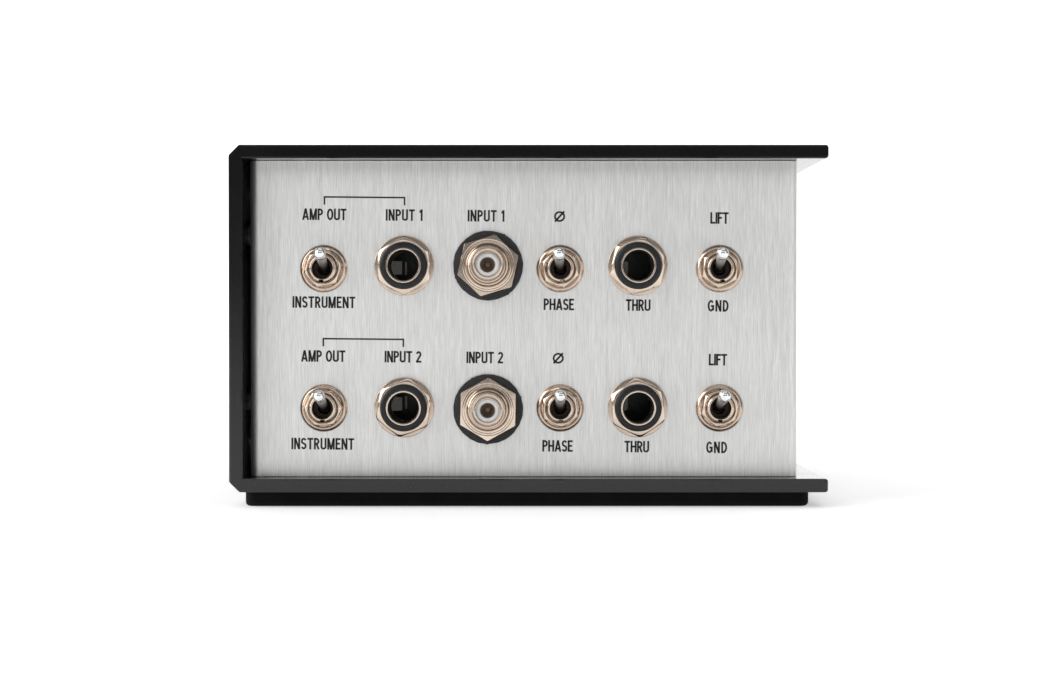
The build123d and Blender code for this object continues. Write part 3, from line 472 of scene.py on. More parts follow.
# each finish: what varies over the surface, and the shader's constants
FINISHES = {
    "black_shell": (black_plate, {"Specular IOR Level": 0.35}),
    "pad_rubber": (pad_rubber, {"Specular IOR Level": 0.15}),
    "brushed_sheet": (brushed_sheet, {"Metallic": 1.0}),
    "nickel": (nickel(), {"Metallic": 1.0}),
    "browned": (nickel((0.60, 0.49, 0.405), 0.2), {"Metallic": 1.0}),
    # bore_dark is painted shade for the inside of each toggle bushing
    "bore_dark": (plated((0.10, 0.07, 0.05), 0.5), {"Metallic": 0.6}),
    # bore_black is painted shade for the inside of each jack's sleeve ring
    "bore_black": (moulded((0.012, 0.011, 0.010), 0.6), {}),
    "leaf_brown": (plated((0.30, 0.225, 0.17), 0.45), {"Metallic": 0.5}),
    "bright_lever": (lever_chrome, {}),
    "black_screw": (plated((0.03, 0.03, 0.032), 0.35), {"Metallic": 0.7}),
    "zinc": (plated((0.62, 0.62, 0.6), 0.32), {"Metallic": 1.0}),
    "black_nylon": (moulded((0.009, 0.0095, 0.011), 0.45), {"Specular IOR Level": 0.35}),
    "switch_case": (moulded((0.05, 0.05, 0.055), 0.45), {}),
    "fibre_washer": (moulded((0.016, 0.0165, 0.018), 0.66, 0.00004), {}),
    "white_liner": (moulded((0.60, 0.62, 0.62), 0.38, spread=0.06), {}),
    # contact_metal glows faintly: painted light standing in for the light that reaches the jack leaves
    # through their bores
    "contact_metal": (plated((0.80, 0.77, 0.71), 0.40),
                      {"Metallic": 1.0, "Emission Strength": 0.06,
                       "Emission Color": (0.8, 0.76, 0.68, 1)}),
    "contact_brass": (plated((0.62, 0.50, 0.38), 0.40), {"Metallic": 1.0}),
    "tinned_pins": (plated((0.72, 0.72, 0.7), 0.3), {"Metallic": 1.0}),
    "xlr_cast": (nickel((0.05, 0.05, 0.055), 0.3), {"Metallic": 0.8}),
    "gold_pins": (plated((0.85, 0.62, 0.25), 0.2), {"Metallic": 1.0}),
    "board_green": (solder_mask, {}),
    "can_steel": (plated((0.58, 0.58, 0.6), 0.35), {"Metallic": 1.0}),
    "core_steel": (laminations, {"Metallic": 0.9}),
    "coil_tape": (moulded((0.55, 0.38, 0.08), 0.35, spread=0.15), {}),
    "resistor_body": (moulded((0.10, 0.28, 0.45), 0.28, spread=0.1), {}),
    "capacitor_body": (moulded((0.5, 0.05, 0.035), 0.25, spread=0.12), {}),
    "wire_red": (moulded((0.42, 0.025, 0.02), 0.35, spread=0.12), {}),
    "wire_grey": (moulded((0.3, 0.3, 0.32), 0.38, spread=0.1), {}),
    "ink": (moulded((0.010, 0.010, 0.010), 0.55, 0.000004, 0.2), {}),
    "sweep": (sweep_paper, {"Emission Strength": 0.48}),
}
MATERIALS = {name: finish(name, *parts) for name, parts in FINISHES.items()}


def dress_nodes():
    """Every CAD node takes the finish of its material slot; the rivet nuts are blackened."""
    blackened = {"rivet_nuts": "black_screw"}
    for part in RECORD["subparts"]:
        finish_name = blackened.get(part["node"], part["material_slot"])
        for slot in NODES[part["node"]].material_slots:
            slot.material = MATERIALS[finish_name]


def add_piece(name, solids, slot, body="box", replaces=(), sharp=38.0):
    """One visible piece of several solids, riding on a body and standing for its nodes."""
    points, faces = joined(*solids)
    piece = new_piece(name, points, faces, MATERIALS[slot], sharp=sharp)
    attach(piece, body)
    if replaces:
        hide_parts(*replaces)


# ---- hexagon nuts ----
NUT_CHAMFER = math.radians(28)
NUT_DISH = math.radians(1.6)
NUT_EDGE = 0.1
NUT_SIDES = 144
# (out, up) steps of a turned groove across a nut's face
GROOVE = ((0.21, 0), (0.15, 0), (0, -0.04), (-0.15, 0), (-0.21, 0))
# rows that follow a hexagon or a plate's edges are marked with these in place of a radius
FOOT, WALL_LOW, WALL_HIGH, RIM = 100, 101, 102, 103


def hex_radius(flats, clip, turn):
    """Outer radius of a hexagon at each angle, its corners clipped to a circle."""
    sector = TURN / 6

    def radius(angle):
        off = np.mod(angle - turn, sector) - sector / 2
        return np.minimum(flats / 2 / np.cos(off), clip)

    return radius


def hex_nut(flats, clip, bore, bottom, top, turn, face_flat=0.95, mouth=0.45, rings=()):
    """A nut: a ring whose outer rows follow the hexagon, with a very shallow cone for its face.

    Beyond the face's flat radius, given in half flats, the corners fall away at the chamfer's
    angle. mouth is the width of the bore's countersink, and each of rings a groove's radius.
    """
    outer = hex_radius(flats, clip, turn)
    flat = face_flat * flats / 2
    slope, dish = math.tan(NUT_CHAMFER), math.tan(NUT_DISH)
    grooves = [(ring + out, top + up) for ring in rings for out, up in GROOVE]
    profile = [
        (bore, bottom), (FOOT, bottom), (WALL_LOW, bottom + NUT_EDGE), (WALL_HIGH, top), (RIM, top),
        (flat, top), *grooves, (bore + mouth, top), (bore + 0.3 * mouth, top - 0.5 * mouth),
        (bore, top - 0.6),
    ]

    def radius_of(angle, r, h):
        edge = outer(angle)
        wall = np.where((r == FOOT) | (r == RIM), edge - NUT_EDGE, edge)
        return np.where(r >= FOOT, wall, np.where(r == flat, np.minimum(r, edge - 1.3 * NUT_EDGE), r))

    def height_of(angle, r, h):
        radius = radius_of(angle, r, h)
        fall = np.maximum(radius - flat, 0) * slope + (radius - bore - mouth) * dish
        fall = fall + np.where(r == WALL_HIGH, NUT_EDGE, 0)
        on_face = (r > bore + mouth) & (h > top - NUT_EDGE)
        return np.where(on_face, h - fall, h)

    return ring_solid(profile, NUT_SIDES, radius_of, height_of)


# ---- toggle switches ----
BUSHING_R = 3.175
BUSHING_BORE = 2.5
BUSHING_TOP = 3.5
BUSHING_FOOT = -4.5
BUSHING_LIP = 0.35
BORE_EDGE = 0.12
THREAD_PITCH = 0.635
THREAD_DEPTH = 0.30
THREAD_END = 0.45
KEYWAY_HALF = 0.55
KEYWAY_DEPTH = 0.5
PIVOT_Z = BUSHING_TOP - 6.0
LEVER_REACH = 16.5
LEVER_TILT = math.radians(12.5)
WASHER_R = 5.6
WASHER_SLOTS = 12
CAP_HALF_WIDE, CAP_HALF_HIGH = 5.7, 6.35
NUT_TURNS = {"pad": (12, 3), "phase": (41, 33), "lift": (25, 18)}


def bushing_solid():
    """Threaded bushing: a helical groove on the outside, a keyway at six o'clock, a plain bore."""
    steps = np.linspace(BUSHING_FOOT, BUSHING_TOP - THREAD_END, 60)
    outside = np.stack([np.full(len(steps), BUSHING_R), steps], 1)
    lip = (BUSHING_R - THREAD_END, BUSHING_TOP - BUSHING_LIP)
    edge = (BUSHING_BORE + BORE_EDGE, BUSHING_TOP - BORE_EDGE)
    profile = np.concatenate([
        [(BUSHING_BORE, BUSHING_FOOT)],
        outside,
        arc(lip, BUSHING_LIP, 20, 90, 5),
        arc(edge, BORE_EDGE, 90, 180, 4),
    ])

    def radius_of(angle, r, h):
        phase = np.mod(h / THREAD_PITCH - angle / TURN, 1)
        groove = THREAD_DEPTH * (1 - np.abs(2 * phase - 1))
        on_thread = (r >= BUSHING_R - 1e-6) & (h < BUSHING_TOP - 0.5)
        radius = np.where(on_thread, r - groove, r)
        in_key = (np.abs(radius * np.cos(angle)) < KEYWAY_HALF) & (np.sin(angle) < 0)
        in_key = in_key & (r > BUSHING_BORE + 0.2)
        return np.where(in_key, np.minimum(radius, BUSHING_R - KEYWAY_DEPTH), radius)

    return ring_solid(profile, 192, radius_of)


def bushing_shade_solids():
    """Painted shade inside a bushing: a thin dark tube just within its bore, and a dark ring deep in it,
    hiding the inside as its shadow would.
    """
    inner, outer = BUSHING_BORE - 0.06, BUSHING_BORE + 0.02
    tube = ring_solid([(inner, -4.4), (outer, -4.4), (outer, 3.26), (inner, 3.2)])
    floor = ring_solid([(1.6, -1.6), (BUSHING_BORE, -1.6), (BUSHING_BORE, -1.3), (1.6, -1.3)])
    return [tube, floor]


def lock_washer_solid():
    """A dished ring: high at r 4.8, falling to its edge and to a seat, with sunken slots.

    In a slot, a narrow span of angle, the rows between r 4.0 and 4.32 drop into the ring.
    """
    profile = [(3.4, 0.03), (5.45, 0.03), (5.58, 0.1), (WASHER_R, 0.22), (5.42, 0.45), (5.15, 0.68),
               (4.92, 0.84), (4.78, 0.87), (4.62, 0.78), (4.45, 0.6), (4.38, 0.56), (4.32, 0.56),
               (4.0, 0.56), (3.94, 0.56), (3.4, 0.56)]

    def height_of(angle, r, h):
        phase = np.mod(angle * WASHER_SLOTS / TURN, 1) - 0.5
        in_slot = (np.abs(phase) < 0.14) & (r > 3.97) & (r < 4.35) & (h > 0.5)
        return np.where(in_slot, 0.1, h)

    return ring_solid(profile, 300, height_of=height_of)


def lever_solid():
    """The bat: a small ball at the pivot, a slim shank, a gentle flare and a domed tip."""
    ball, neck, tip = 1.5, 1.05, 1.40
    start = math.degrees(math.asin(neck / ball))
    ball_arc = arc((0, 0), ball, -90 + start, 90 - start, 22)
    tip_arc = arc((0, LEVER_REACH - tip), tip, 0, 90, 14)[:-1]
    shank = [(neck, 1.3), (neck, 3.0), (neck, 6.2), (1.10, 9.0), (1.16, 12.0), (1.20, 13.2),
             (1.27, 13.9), (1.35, 14.5), (1.39, 14.85)]
    profile = np.concatenate([
        [(0, -7.1), (0.5, -7.1), (0.85, -6.8), (neck, -6.3)], ball_arc, shank, tip_arc,
        [(0, LEVER_REACH)],
    ])
    return turned_solid(profile, 64)


def cross_pin_solid():
    """The pin through the ball, along x."""
    points, faces = turned_solid([(0, -2.4), (0.5, -2.4), (0.5, 2.4), (0, 2.4)], 20)
    return points[:, [2, 0, 1]], faces


def cap_plate_solid():
    """The plate under a bushing: a ring round its bore whose outer rows follow a rectangle."""
    outline = [(2.1, -6.3), (FOOT, -6.3), (FOOT, -5.4), (BUSHING_BORE - 0.1, -5.4), (2.1, -5.4)]

    def radius_of(angle, r, h):
        wide = CAP_HALF_WIDE / np.maximum(np.abs(np.cos(angle)), 1e-6)
        high = CAP_HALF_HIGH / np.maximum(np.abs(np.sin(angle)), 1e-6)
        return np.where(r == FOOT, np.minimum(wide, high), r)

    return ring_solid(outline, 96, radius_of)


def make_lever(kind, row):
    """One lever with its cross pin, tilted about its ball to the upper stop."""
    spot, turn = switch_spot(kind, row)
    points, faces = joined(lever_solid(), cross_pin_solid())
    lever = placed((points + [0, 0, PIVOT_Z], faces), spot, turn, -LEVER_TILT, PIVOT_Z)
    name = f"{kind}_lever_{row}"
    add_piece(f"bat_{kind}_{row}", [lever], "bright_lever", name, [name])


def make_switches():
    """Bushing, nut, washer and lever of each switch."""
    bushings, caps, nuts, washers, liners_and_bore_shades = [], [], [], [], []
    for row in ROWS:
        for kind in SWITCHES:
            spot, turn = switch_spot(kind, row)
            angle = math.radians(NUT_TURNS[kind][row - 1])
            nut = hex_nut(flats=8.0, clip=4.6, bore=3.2, bottom=0.6, top=2.6, turn=angle)
            bushings.append(placed(bushing_solid(), spot, turn))
            caps.append(placed(cap_plate_solid(), spot, turn))
            nuts.append(placed(nut, spot))
            washers.append(placed(lock_washer_solid(), spot, angle))
            # dark tubes and rings painted in as the shade inside the bushing
            liners_and_bore_shades += [placed(solid, spot) for solid in bushing_shade_solids()]
            make_lever(kind, row)
    add_piece("threaded_bushings", bushings + caps, "nickel", replaces=["toggle_bushings"])
    # the bushings' painted bore shade
    add_piece("bushing_bore_shades", liners_and_bore_shades, "bore_dark")
    add_piece("switch_nuts", nuts, "nickel", replaces=["toggle_nuts"])
    add_piece("tooth_washers", washers, "browned", replaces=["toggle_lock_washers"])


# ---- quarter-inch jacks ----
JACK_NUT_TURNS = {"input": (30, 21), "thru": (17, 34)}
THROAT_R = 3.97
NOSE_R = 5.40
NOSE_FRONT = 4.02
SLEEVE_R = 3.93
SLEEVE_BORE = 3.3
SLEEVE_FRONT = 4.07
JACK_WASHER_R = 7.05


def nose_solid():
    """The front of a jack's plastic nose: a short ring with a rounded outer edge."""
    back = 2.9
    outline = [(THROAT_R, back), (NOSE_R, back), (NOSE_R, NOSE_FRONT), (THROAT_R, NOSE_FRONT)]
    return ring_solid(rounded(outline, [0, 0, 0.6, 0.1], 8), 120)


def sleeve_ring_solid():
    """The metal tube in a jack's nose, with a thin lip in front and a narrower foot."""
    foot, lip_back, lip_r, inner = -4.95, 3.98, 4.10, 3.68
    outline = [
        (SLEEVE_BORE, foot), (SLEEVE_R, foot), (SLEEVE_R, lip_back), (lip_r, lip_back),
        (lip_r, SLEEVE_FRONT), (inner, SLEEVE_FRONT), (inner - 0.01, 1.0), (SLEEVE_BORE, 0.7),
    ]
    return ring_solid(rounded(outline, [0, 0, 0, 0.02, 0.03, 0.06, 0, 0.05], 4))


def bore_shade_solid():
    """Painted shade: a thin dark tube just inside the sleeve ring, slanted off behind its lip, standing for
    the shadow in the jack's bore.
    """
    return ring_solid([(3.31, 0.75), (3.66, 0.75), (3.66, 3.97), (3.60, 3.97), (3.52, 3.6)])


def flat_washer_solid():
    """The plain washer under a jack's nut."""
    bore, thick = 5.55, 0.6
    outline = [(bore, 0.0), (JACK_WASHER_R, 0.0), (JACK_WASHER_R, thick), (bore, thick)]
    return ring_solid(rounded(outline, [0, 0.1, 0.2, 0.05]), 120)


def make_jacks():
    """Washer, nut, nose and sleeve ring of each jack."""
    noses, rings, nuts, washers, shades = [], [], [], [], []
    for row in ROWS:
        for kind in JACKS:
            spot = jack_spot(kind, row)
            angle = math.radians(JACK_NUT_TURNS[kind][row - 1])
            nut = hex_nut(flats=12.3, clip=6.95, bore=5.43, bottom=0.6, top=2.8, turn=angle,
                          face_flat=0.93, mouth=0.04)
            shades.append(placed(bore_shade_solid(), spot))
            noses.append(placed(nose_solid(), spot))
            rings.append(placed(sleeve_ring_solid(), spot))
            nuts.append(placed(nut, spot))
            washers.append(placed(flat_washer_solid(), spot))
    add_piece("jack_noses", noses, "black_nylon")
    add_piece("jack_bore_shades", shades, "bore_black")
    add_piece("sleeve_rings", rings, "nickel", replaces=["jack_sleeve_rings"])
    add_piece("jack_hex_nuts", nuts, "nickel", replaces=["jack_nuts"])
    add_piece("flat_washers", washers, "browned", replaces=["jack_washers"])


# ---- RCA sockets ----
RCA_NUT_TURNS = (17, 29)
NUT_RINGS = (6.0, 5.5)
BARREL_R = 4.15
BARREL_BORE = 2.7
BARREL_FRONT = 9.0
COLLAR_R = 4.75
FLANGE_R = 6.4
# the torn nibs on each row's fibre washer, in degrees, and their height and width
NIBS = {1: (200, 305, 62), 2: (268, 20, 118)}
NIB_HEIGHT, NIB_WIDTH = 0.22, 0.018


def fibre_washer_solid(row):
    """A stamped washer whose edge carries small torn nibs: radius rises in a few narrow bumps."""
    profile = rounded([(4.9, 0.0), (8.2, 0.0), (8.2, 1.0), (4.9, 1.0)], [0, 0.1, 0.22, 0.05])

    def radius_of(angle, r, h):
        rough = 0.03 * np.sin(7 * angle + row) + 0.02 * np.sin(23 * angle)
        for nib in NIBS[row]:
            off = np.mod(angle - math.radians(nib) + math.pi, TURN) - math.pi
            rough = rough + NIB_HEIGHT * np.exp(-(off / NIB_WIDTH) ** 2)
        return np.where(r > 7.5, r + rough, r)

    return ring_solid(profile, 360, radius_of)


def barrel_solid():
    """The barrel: a tube in front, a collar through the panel, a flange behind it, and a tail.

    The collar's end is grooved where the tube leaves it, and a fine ring runs round the mouth.
    """
    tail_r, tail, flange_back, flange_front, shoulder = 4.1, -8.9, -5.6, -3.4, 3.9
    outline = [
        (BARREL_BORE, tail), (tail_r, tail), (tail_r, flange_back), (FLANGE_R, flange_back),
        (FLANGE_R, flange_front), (COLLAR_R, flange_front), (COLLAR_R, shoulder), (4.35, 4.1),
        (BARREL_R, shoulder), (BARREL_R, BARREL_FRONT), (3.45, BARREL_FRONT), (3.35, 8.93),
        (3.25, BARREL_FRONT), (BARREL_BORE, BARREL_FRONT),
    ]
    radii = [0, 0, 0, 0.1, 0.1, 0, 0.15, 0.05, 0, 0.22, 0, 0, 0, 0.08]
    return ring_solid(rounded(outline, radii, 5), 128)


def liner_solid():
    """The white insulator inside the barrel, a plain tube."""
    inner, outer, back, front = 1.8, BARREL_BORE - 0.01, -9.7, 8.7
    outline = [(inner, back), (outer, back), (outer, front), (inner, front)]
    return ring_solid(rounded(outline, [0, 0, 0.12, 0.15]), 72)


def pin_socket_solid():
    """The centre contact: a cup whose closed leaves slope in to a small flat, and a thin tail."""
    outline = [(0, -13.4), (0.8, -13.4), (0.8, -9.8), (1.78, -9.8), (1.78, 8.0), (1.66, 8.0),
               (1.62, 7.4), (0.6, 5.6), (0.5, 5.3), (0, 5.25)]
    return turned_solid(outline, 48)


def make_rcas():
    """Washer, nut, barrel, liner and centre contact of each RCA socket."""
    washers, nuts, barrels, liners_and_bore_shades, contacts = [], [], [], [], []
    for row in ROWS:
        spot = rca_spot(row)
        angle = math.radians(RCA_NUT_TURNS[row - 1])
        nut = hex_nut(flats=13.0, clip=7.5, bore=4.8, bottom=1.0, top=3.4, turn=angle,
                      face_flat=1.25, mouth=0.35, rings=NUT_RINGS)
        washers.append(placed(fibre_washer_solid(row), spot))
        nuts.append(placed(nut, spot))
        barrels.append(placed(barrel_solid(), spot))
        liners_and_bore_shades.append(placed(liner_solid(), spot))
        contacts.append(placed(pin_socket_solid(), spot))
    add_piece("fibre_washers", washers, "fibre_washer", replaces=["rca_front_washers"])
    add_piece("rca_hex_nuts", nuts, "nickel", replaces=["rca_nuts"], sharp=24)
    add_piece("rca_collars", barrels, "browned", replaces=["rca_barrels"])
    add_piece("rca_liners", liners_and_bore_shades, "white_liner", replaces=["rca_insulators"])
    add_piece("rca_pin_sockets", contacts, "leaf_brown", replaces=["rca_center_contacts"])


# ---- lettering: plain function words in a condensed single-stroke hand ----
LETTER_HEIGHT = 2.72
STROKE = 0.45
INK_HEIGHT = 0.03
INK_LIFT = 0.004
LEAN = math.radians(0.53)
# half a stroke, in the height between the middles of a letter's top and bottom strokes
EDGE = STROKE / 2 / (LETTER_HEIGHT - STROKE)
# heights of the words and of the bracket's line, from the input jack's axis
WORD_ABOVE, WORD_BELOW = 11.82, -8.88
BRACKET_RISE, BRACKET_DROP, BRACKET_LINE = 4.1, 1.8, 0.38


def bow(cx, cz, rx, rz, start, end, steps=14):
    """Points of an elliptical stroke, angles in degrees."""
    t = np.radians(np.linspace(start, end, steps))
    return np.stack([cx + rx * np.cos(t), cz + rz * np.sin(t)], 1)


def glyphs():
    """Width, straight bars (x, z, x, z) and curved paths of each letter.

    x is in letter heights between stroke middles; z runs from 0 at the foot to 1 at the head.
    """
    wide = 0.36
    half = wide / 2
    head = [0, 1, 0.27, 1]
    middle = [0, 0.52, 0.21, 0.52]
    stem = [0, 0, 0, 1]
    p_bow = np.concatenate([[(0, 1)], bow(0.11, 0.74, 0.20, 0.26, 90, -90), [(0, 0.48)]])
    d_bow = np.concatenate([[(0, 1)], bow(0.09, 0.5, 0.26, 0.5, 90, -90, 24), [(0, 0)]])
    u_bow = np.concatenate([[(0, 1 + EDGE)], bow(half, half, half, half, 180, 360), [(wide, 1 + EDGE)]])
    s_bow = np.concatenate([bow(0.16, 0.755, 0.16, 0.245, 22, 225, 16),
                            bow(0.16, 0.25, 0.16, 0.25, 45, -158, 16)])
    two = np.concatenate([bow(0.155, 0.76, 0.155, 0.24, 165, -25, 16), [(0.0, 0.02)]])
    # the phase sign, a round O with a slash across it, is written as 0
    phase_sign = [bow(0.42, 0.5, 0.40, 0.46, 0, 360, 48), np.array([(0.02, -0.04), (0.82, 1.04)])]
    return {
        "A": (0.42, [[0, 0, 0.21, 1], [0.42, 0, 0.21, 1], [0.14, 0.22, 0.28, 0.22]], []),
        "M": (0.48, [stem, [0.48, 0, 0.48, 1], [0, 1, 0.24, 0], [0.48, 1, 0.24, 0]], []),
        "N": (wide, [stem, [wide, 0, wide, 1], [0, 1, wide, 0]], []),
        "T": (0.34, [[0.17, 0, 0.17, 1], [0, 1, 0.34, 1]], []),
        "I": (0.0, [stem], []),
        "H": (wide, [stem, [wide, 0, wide, 1], [0, 0.5, wide, 0.5]], []),
        "L": (0.27, [stem, [0, 0, 0.27, 0]], []),
        "F": (0.27, [stem, head, middle], []),
        "E": (0.28, [stem, head, middle, [0, 0, 0.28, 0]], []),
        "1": (0.12, [[0.12, 0, 0.12, 1], [-0.02, 0.72, 0.12, 1]], []),
        "O": (0.40, [], [bow(0.20, 0.5, 0.20, 0.5, 0, 360, 40)]),
        "U": (wide, [], [u_bow]),
        "P": (0.31, [stem], [p_bow]),
        "R": (0.33, [stem, [0.15, 0.5, 0.33, 0]], [p_bow]),
        "D": (0.35, [stem], [d_bow]),
        "G": (0.40, [[0.40, 0.1, 0.40, 0.52], [0.28, 0.47, 0.40, 0.47]],
              [bow(0.20, 0.5, 0.20, 0.5, 40, 325, 30)]),
        "S": (0.32, [], [s_bow]),
        "2": (0.31, [[0, 0, 0.31, 0]], [two]),
        "0": (0.84, [], phase_sign),
        " ": (0.07, [], []),
    }


def bar_outline(x0, z0, x1, z1, stroke):
    """Four corners of a straight stroke whose ends are cut level, or upright if it lies flat."""
    half = stroke / 2
    if z0 == z1:
        x0, x1 = x0 - half, x1 + half
        return [(x0, z0 - half), (x1, z0 - half), (x1, z0 + half), (x0, z0 + half)]
    if z0 > z1:
        x0, z0, x1, z1 = x1, z1, x0, z0
    wide = half * math.hypot(x1 - x0, z1 - z0) / (z1 - z0)
    return [(x0 - wide, z0), (x0 + wide, z0), (x1 + wide, z1), (x1 - wide, z1)]


def slab(outline, base, height):
    """A flat outline of (x, z) points, counter-clockwise seen from in front, as a raised slab."""
    x, z = np.tile(outline, (2, 1)).T
    n = len(outline)
    points = np.stack([x, np.repeat([base, base - height], n), z], 1)
    faces = [[i, i + n, (i + 1) % n + n, (i + 1) % n] for i in range(n)]
    return points, faces + [list(range(n))[::-1], list(range(n, 2 * n))]


def ribbon(path, width, base, height):
    """A flat stroke of constant width along a path of (x, z) points, as a closed raised strip.

    Each point is moved sideways by half the width along the mitre of its two runs.
    """
    path = np.asarray(path, float)
    closed = np.allclose(path[0], path[-1])
    if closed:
        path = path[:-1]
    ahead = np.roll(path, -1, 0) - path
    if not closed:
        ahead[-1] = ahead[-2]
    ahead /= np.linalg.norm(ahead, axis=1)[:, None]
    behind = np.roll(ahead, 1, 0)
    if not closed:
        behind[0] = ahead[0]
    normal = np.stack([-(ahead + behind)[:, 1], (ahead + behind)[:, 0]], 1)
    normal /= np.linalg.norm(normal, axis=1)[:, None]
    side = np.stack([-ahead[:, 1], ahead[:, 0]], 1)
    stretch = 1 / np.maximum((normal * side).sum(1), 0.45)
    reach = normal * (stretch * width / 2)[:, None]
    left, right = path + reach, path - reach
    n = len(path)
    top, bottom = base - height, base

    def lifted(points, y):
        return np.stack([points[:, 0], np.full(n, y), points[:, 1]], 1)

    ring = np.stack([lifted(left, bottom), lifted(left, top), lifted(right, top), lifted(right, bottom)], 1)
    faces = grid_faces(n, 4, wrap_rows=closed, wrap_columns=True)
    if not closed:
        faces += [[3, 2, 1, 0], [4 * (n - 1) + i for i in range(4)]]
    return ring.reshape(-1, 3), faces


def word(text, centre_x, centre_z, width, base):
    """A word centred on a point, its gaps chosen so that it has the asked width."""
    shapes = glyphs()
    widths = [shapes[c][0] * LETTER_HEIGHT for c in text]
    gap = (width - STROKE - sum(widths)) / max(1, len(text) - 1)
    x = centre_x - width / 2 + STROKE / 2
    foot = centre_z - LETTER_HEIGHT / 2
    tall = LETTER_HEIGHT - STROKE
    solids = []
    for c, advance in zip(text, widths):
        for x0, z0, x1, z1 in shapes[c][1]:
            if z0 == z1:
                z0 = z1 = (STROKE / 2 + z0 * tall) / LETTER_HEIGHT
            spots = np.array([x0, z0, x1, z1]) * LETTER_HEIGHT + [x, foot, x, foot]
            solids.append(slab(bar_outline(*spots, STROKE), base, INK_HEIGHT))
        for path in shapes[c][2]:
            spots = path * [LETTER_HEIGHT, tall] + [x, foot + STROKE / 2]
            solids.append(ribbon(spots, STROKE, base, INK_HEIGHT))
        x += advance + gap
    return solids


def leaned(solids, pivot_x, pivot_z):
    """The print sits a little clockwise on its panel."""
    out = []
    for points, faces in solids:
        x, z = points[:, 0] - pivot_x, points[:, 2] - pivot_z
        points = points.copy()
        points[:, 0] = pivot_x + x * math.cos(LEAN) + z * math.sin(LEAN)
        points[:, 2] = pivot_z + z * math.cos(LEAN) - x * math.sin(LEAN)
        out.append((points, faces))
    return out


def row_words(row):
    """The words of a row: text, the place of its control, steps across and up, and width."""
    pad, phase, lift = (switch_spot(kind, row)[0] for kind in SWITCHES)
    jack, thru, rca = jack_spot("input", row), jack_spot("thru", row), rca_spot(row)
    return [
        ("AMP OUT", pad, -0.08, WORD_ABOVE, 10.4),
        ("INSTRUMENT", pad, -0.02, WORD_BELOW, 14.8),
        (f"INPUT {row}", jack, -0.25, WORD_ABOVE, 8.68),
        (f"INPUT {row}", rca, -0.75, WORD_ABOVE, 8.68),
        ("0", phase, -0.41, WORD_ABOVE, 2.74),
        ("PHASE", phase, -0.38, WORD_BELOW, 7.2),
        ("THRU", thru, 0.03, WORD_BELOW, 5.85),
        ("LIFT", lift, -0.31, WORD_ABOVE, 4.32),
        ("GND", lift, -0.40, WORD_BELOW, 4.95),
    ]


def bracket(row, base):
    """The line from the pad switch to its jack, with a short drop at each end."""
    jack = jack_spot("input", row)
    top = jack[2] + WORD_ABOVE + BRACKET_RISE
    left, right = switch_spot("pad", row)[0][0] - 0.08, jack[0] - 0.2
    foot = top - BRACKET_DROP
    bars = [(left, foot, left, top), (right, foot, right, top), (left, top, right, top)]
    return [slab(bar_outline(*bar, BRACKET_LINE), base, INK_HEIGHT) for bar in bars]


def make_lettering():
    """The words over and under each control, and the bracket from the pad switch to its jack."""
    solids = []
    base = PANEL_Y - INK_LIFT
    for row in ROWS:
        level = jack_spot("input", row)[2]
        for text, spot, across, up, width in row_words(row):
            solids += word(text, spot[0] + across, level + up, width, base)
        solids += bracket(row, base)
    pad = switch_spot("pad", 1)[0]
    add_piece("panel_print", leaned(solids, pad[0] + 30, pad[2] - 16), "ink")


# ---- stage, camera and lights ----
CAMERA_X, CAMERA_Z = -1.30, 43.8
CAMERA_DISTANCE = 500.0
CAMERA_LENS = 72.6857
CAMERA_DIP, CAMERA_YAW = math.radians(0.810735), math.radians(-0.054053)


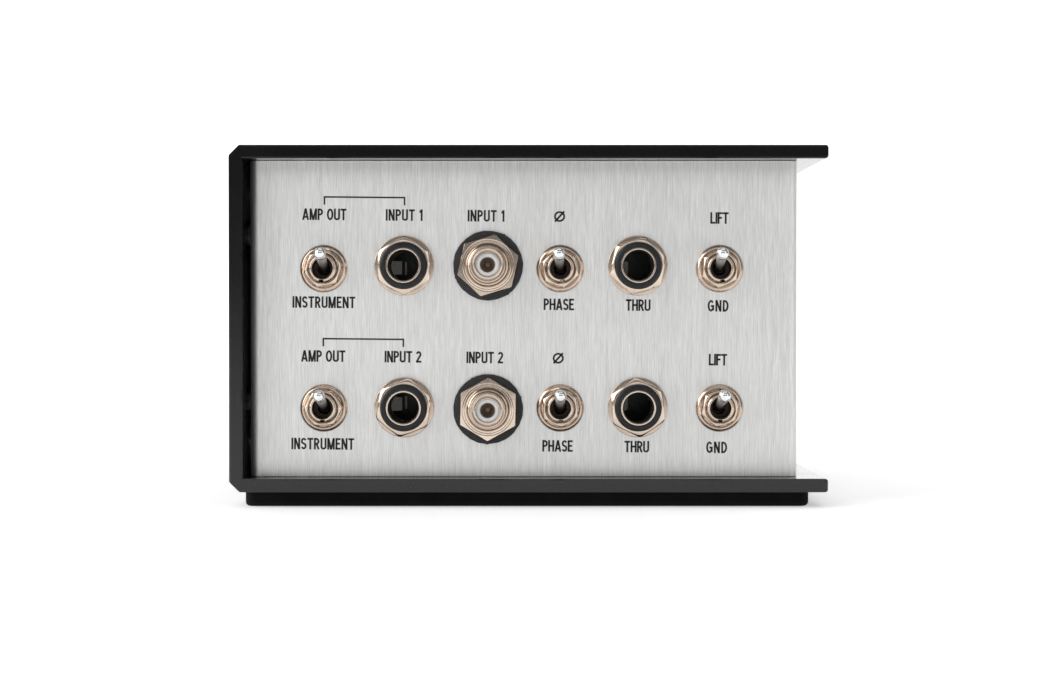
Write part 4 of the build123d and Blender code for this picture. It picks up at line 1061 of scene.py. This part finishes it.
def sweep_stage():
    """A pale floor that curves up behind the object: a profile of (y, z) carried along x."""
    reach, back, radius, height, columns = 3500.0, 1400.0, 700.0, 3200.0, 9
    t = np.linspace(0, math.pi / 2, 24)
    curve = np.stack([back + radius * np.sin(t), radius - radius * np.cos(t)], 1)
    profile = np.concatenate([[(-reach, 0), (-1200, 0), (0, 0)], curve, [(back + radius, height)]])
    across = np.linspace(-reach, reach, columns)
    x, i = np.meshgrid(across, np.arange(len(profile)), indexing="ij")
    points = np.stack([x, profile[i, 0], profile[i, 1]], -1).reshape(-1, 3)
    faces = grid_faces(columns, len(profile))
    floor = new_piece("pale_sweep", points, faces, MATERIALS["sweep"], sharp=180)


def make_camera():
    """A long lens at the height of the box, aimed a little below the middle."""
    camera = bpy.data.objects.new("camera", bpy.data.cameras.new("camera"))
    bpy.context.scene.collection.objects.link(camera)
    camera.data.sensor_fit = "HORIZONTAL"
    camera.data.sensor_width = 36.0
    camera.data.lens = CAMERA_LENS
    camera.data.clip_start, camera.data.clip_end = 0.01, 30.0
    camera.location = (CAMERA_X * MM, (PANEL_Y - CAMERA_DISTANCE) * MM, CAMERA_Z * MM)
    camera.rotation_euler = (math.pi / 2 - CAMERA_DIP, 0, CAMERA_YAW)
    bpy.context.scene.camera = camera


def softbox(name, spot, aim, width, height, power):
    """A rectangular soft light at spot, in millimetres, facing aim."""
    data = bpy.data.lights.new(name, "AREA")
    data.shape = "RECTANGLE"
    data.size, data.size_y = width * MM, height * MM
    data.energy = power
    light = bpy.data.objects.new(name, data)
    bpy.context.scene.collection.objects.link(light)
    light.location = Vector(spot) * MM
    direction = Vector(aim) - Vector(spot)
    light.rotation_euler = direction.to_track_quat("-Z", "Y").to_euler()


def make_lights():
    """Large soft lights in front, on both sides and overhead, and an even pale surround."""
    middle = (0, 0, 45)
    softbox("front_soft", (0, -1450, 1000), middle, 1700, 800, 2.7)
    softbox("left_soft", (-1500, -680, 800), middle, 1500, 1400, 21.0)
    softbox("right_soft", (1050, -900, 450), middle, 700, 900, 1.6)
    softbox("top_soft", (0, 150, 1300), middle, 1400, 1400, 4.6)
    world = bpy.data.worlds.new("surround")
    bpy.context.scene.world = world
    world.use_nodes = True
    background = world.node_tree.nodes["Background"]
    background.inputs[0].default_value = (1, 1, 1, 1)
    background.inputs[1].default_value = 0.25


make_camera()
dress_nodes()
make_switches()
make_jacks()
make_rcas()
make_lettering()
sweep_stage()
make_lights()
bpy.context.scene.view_settings.view_transform = "Standard"
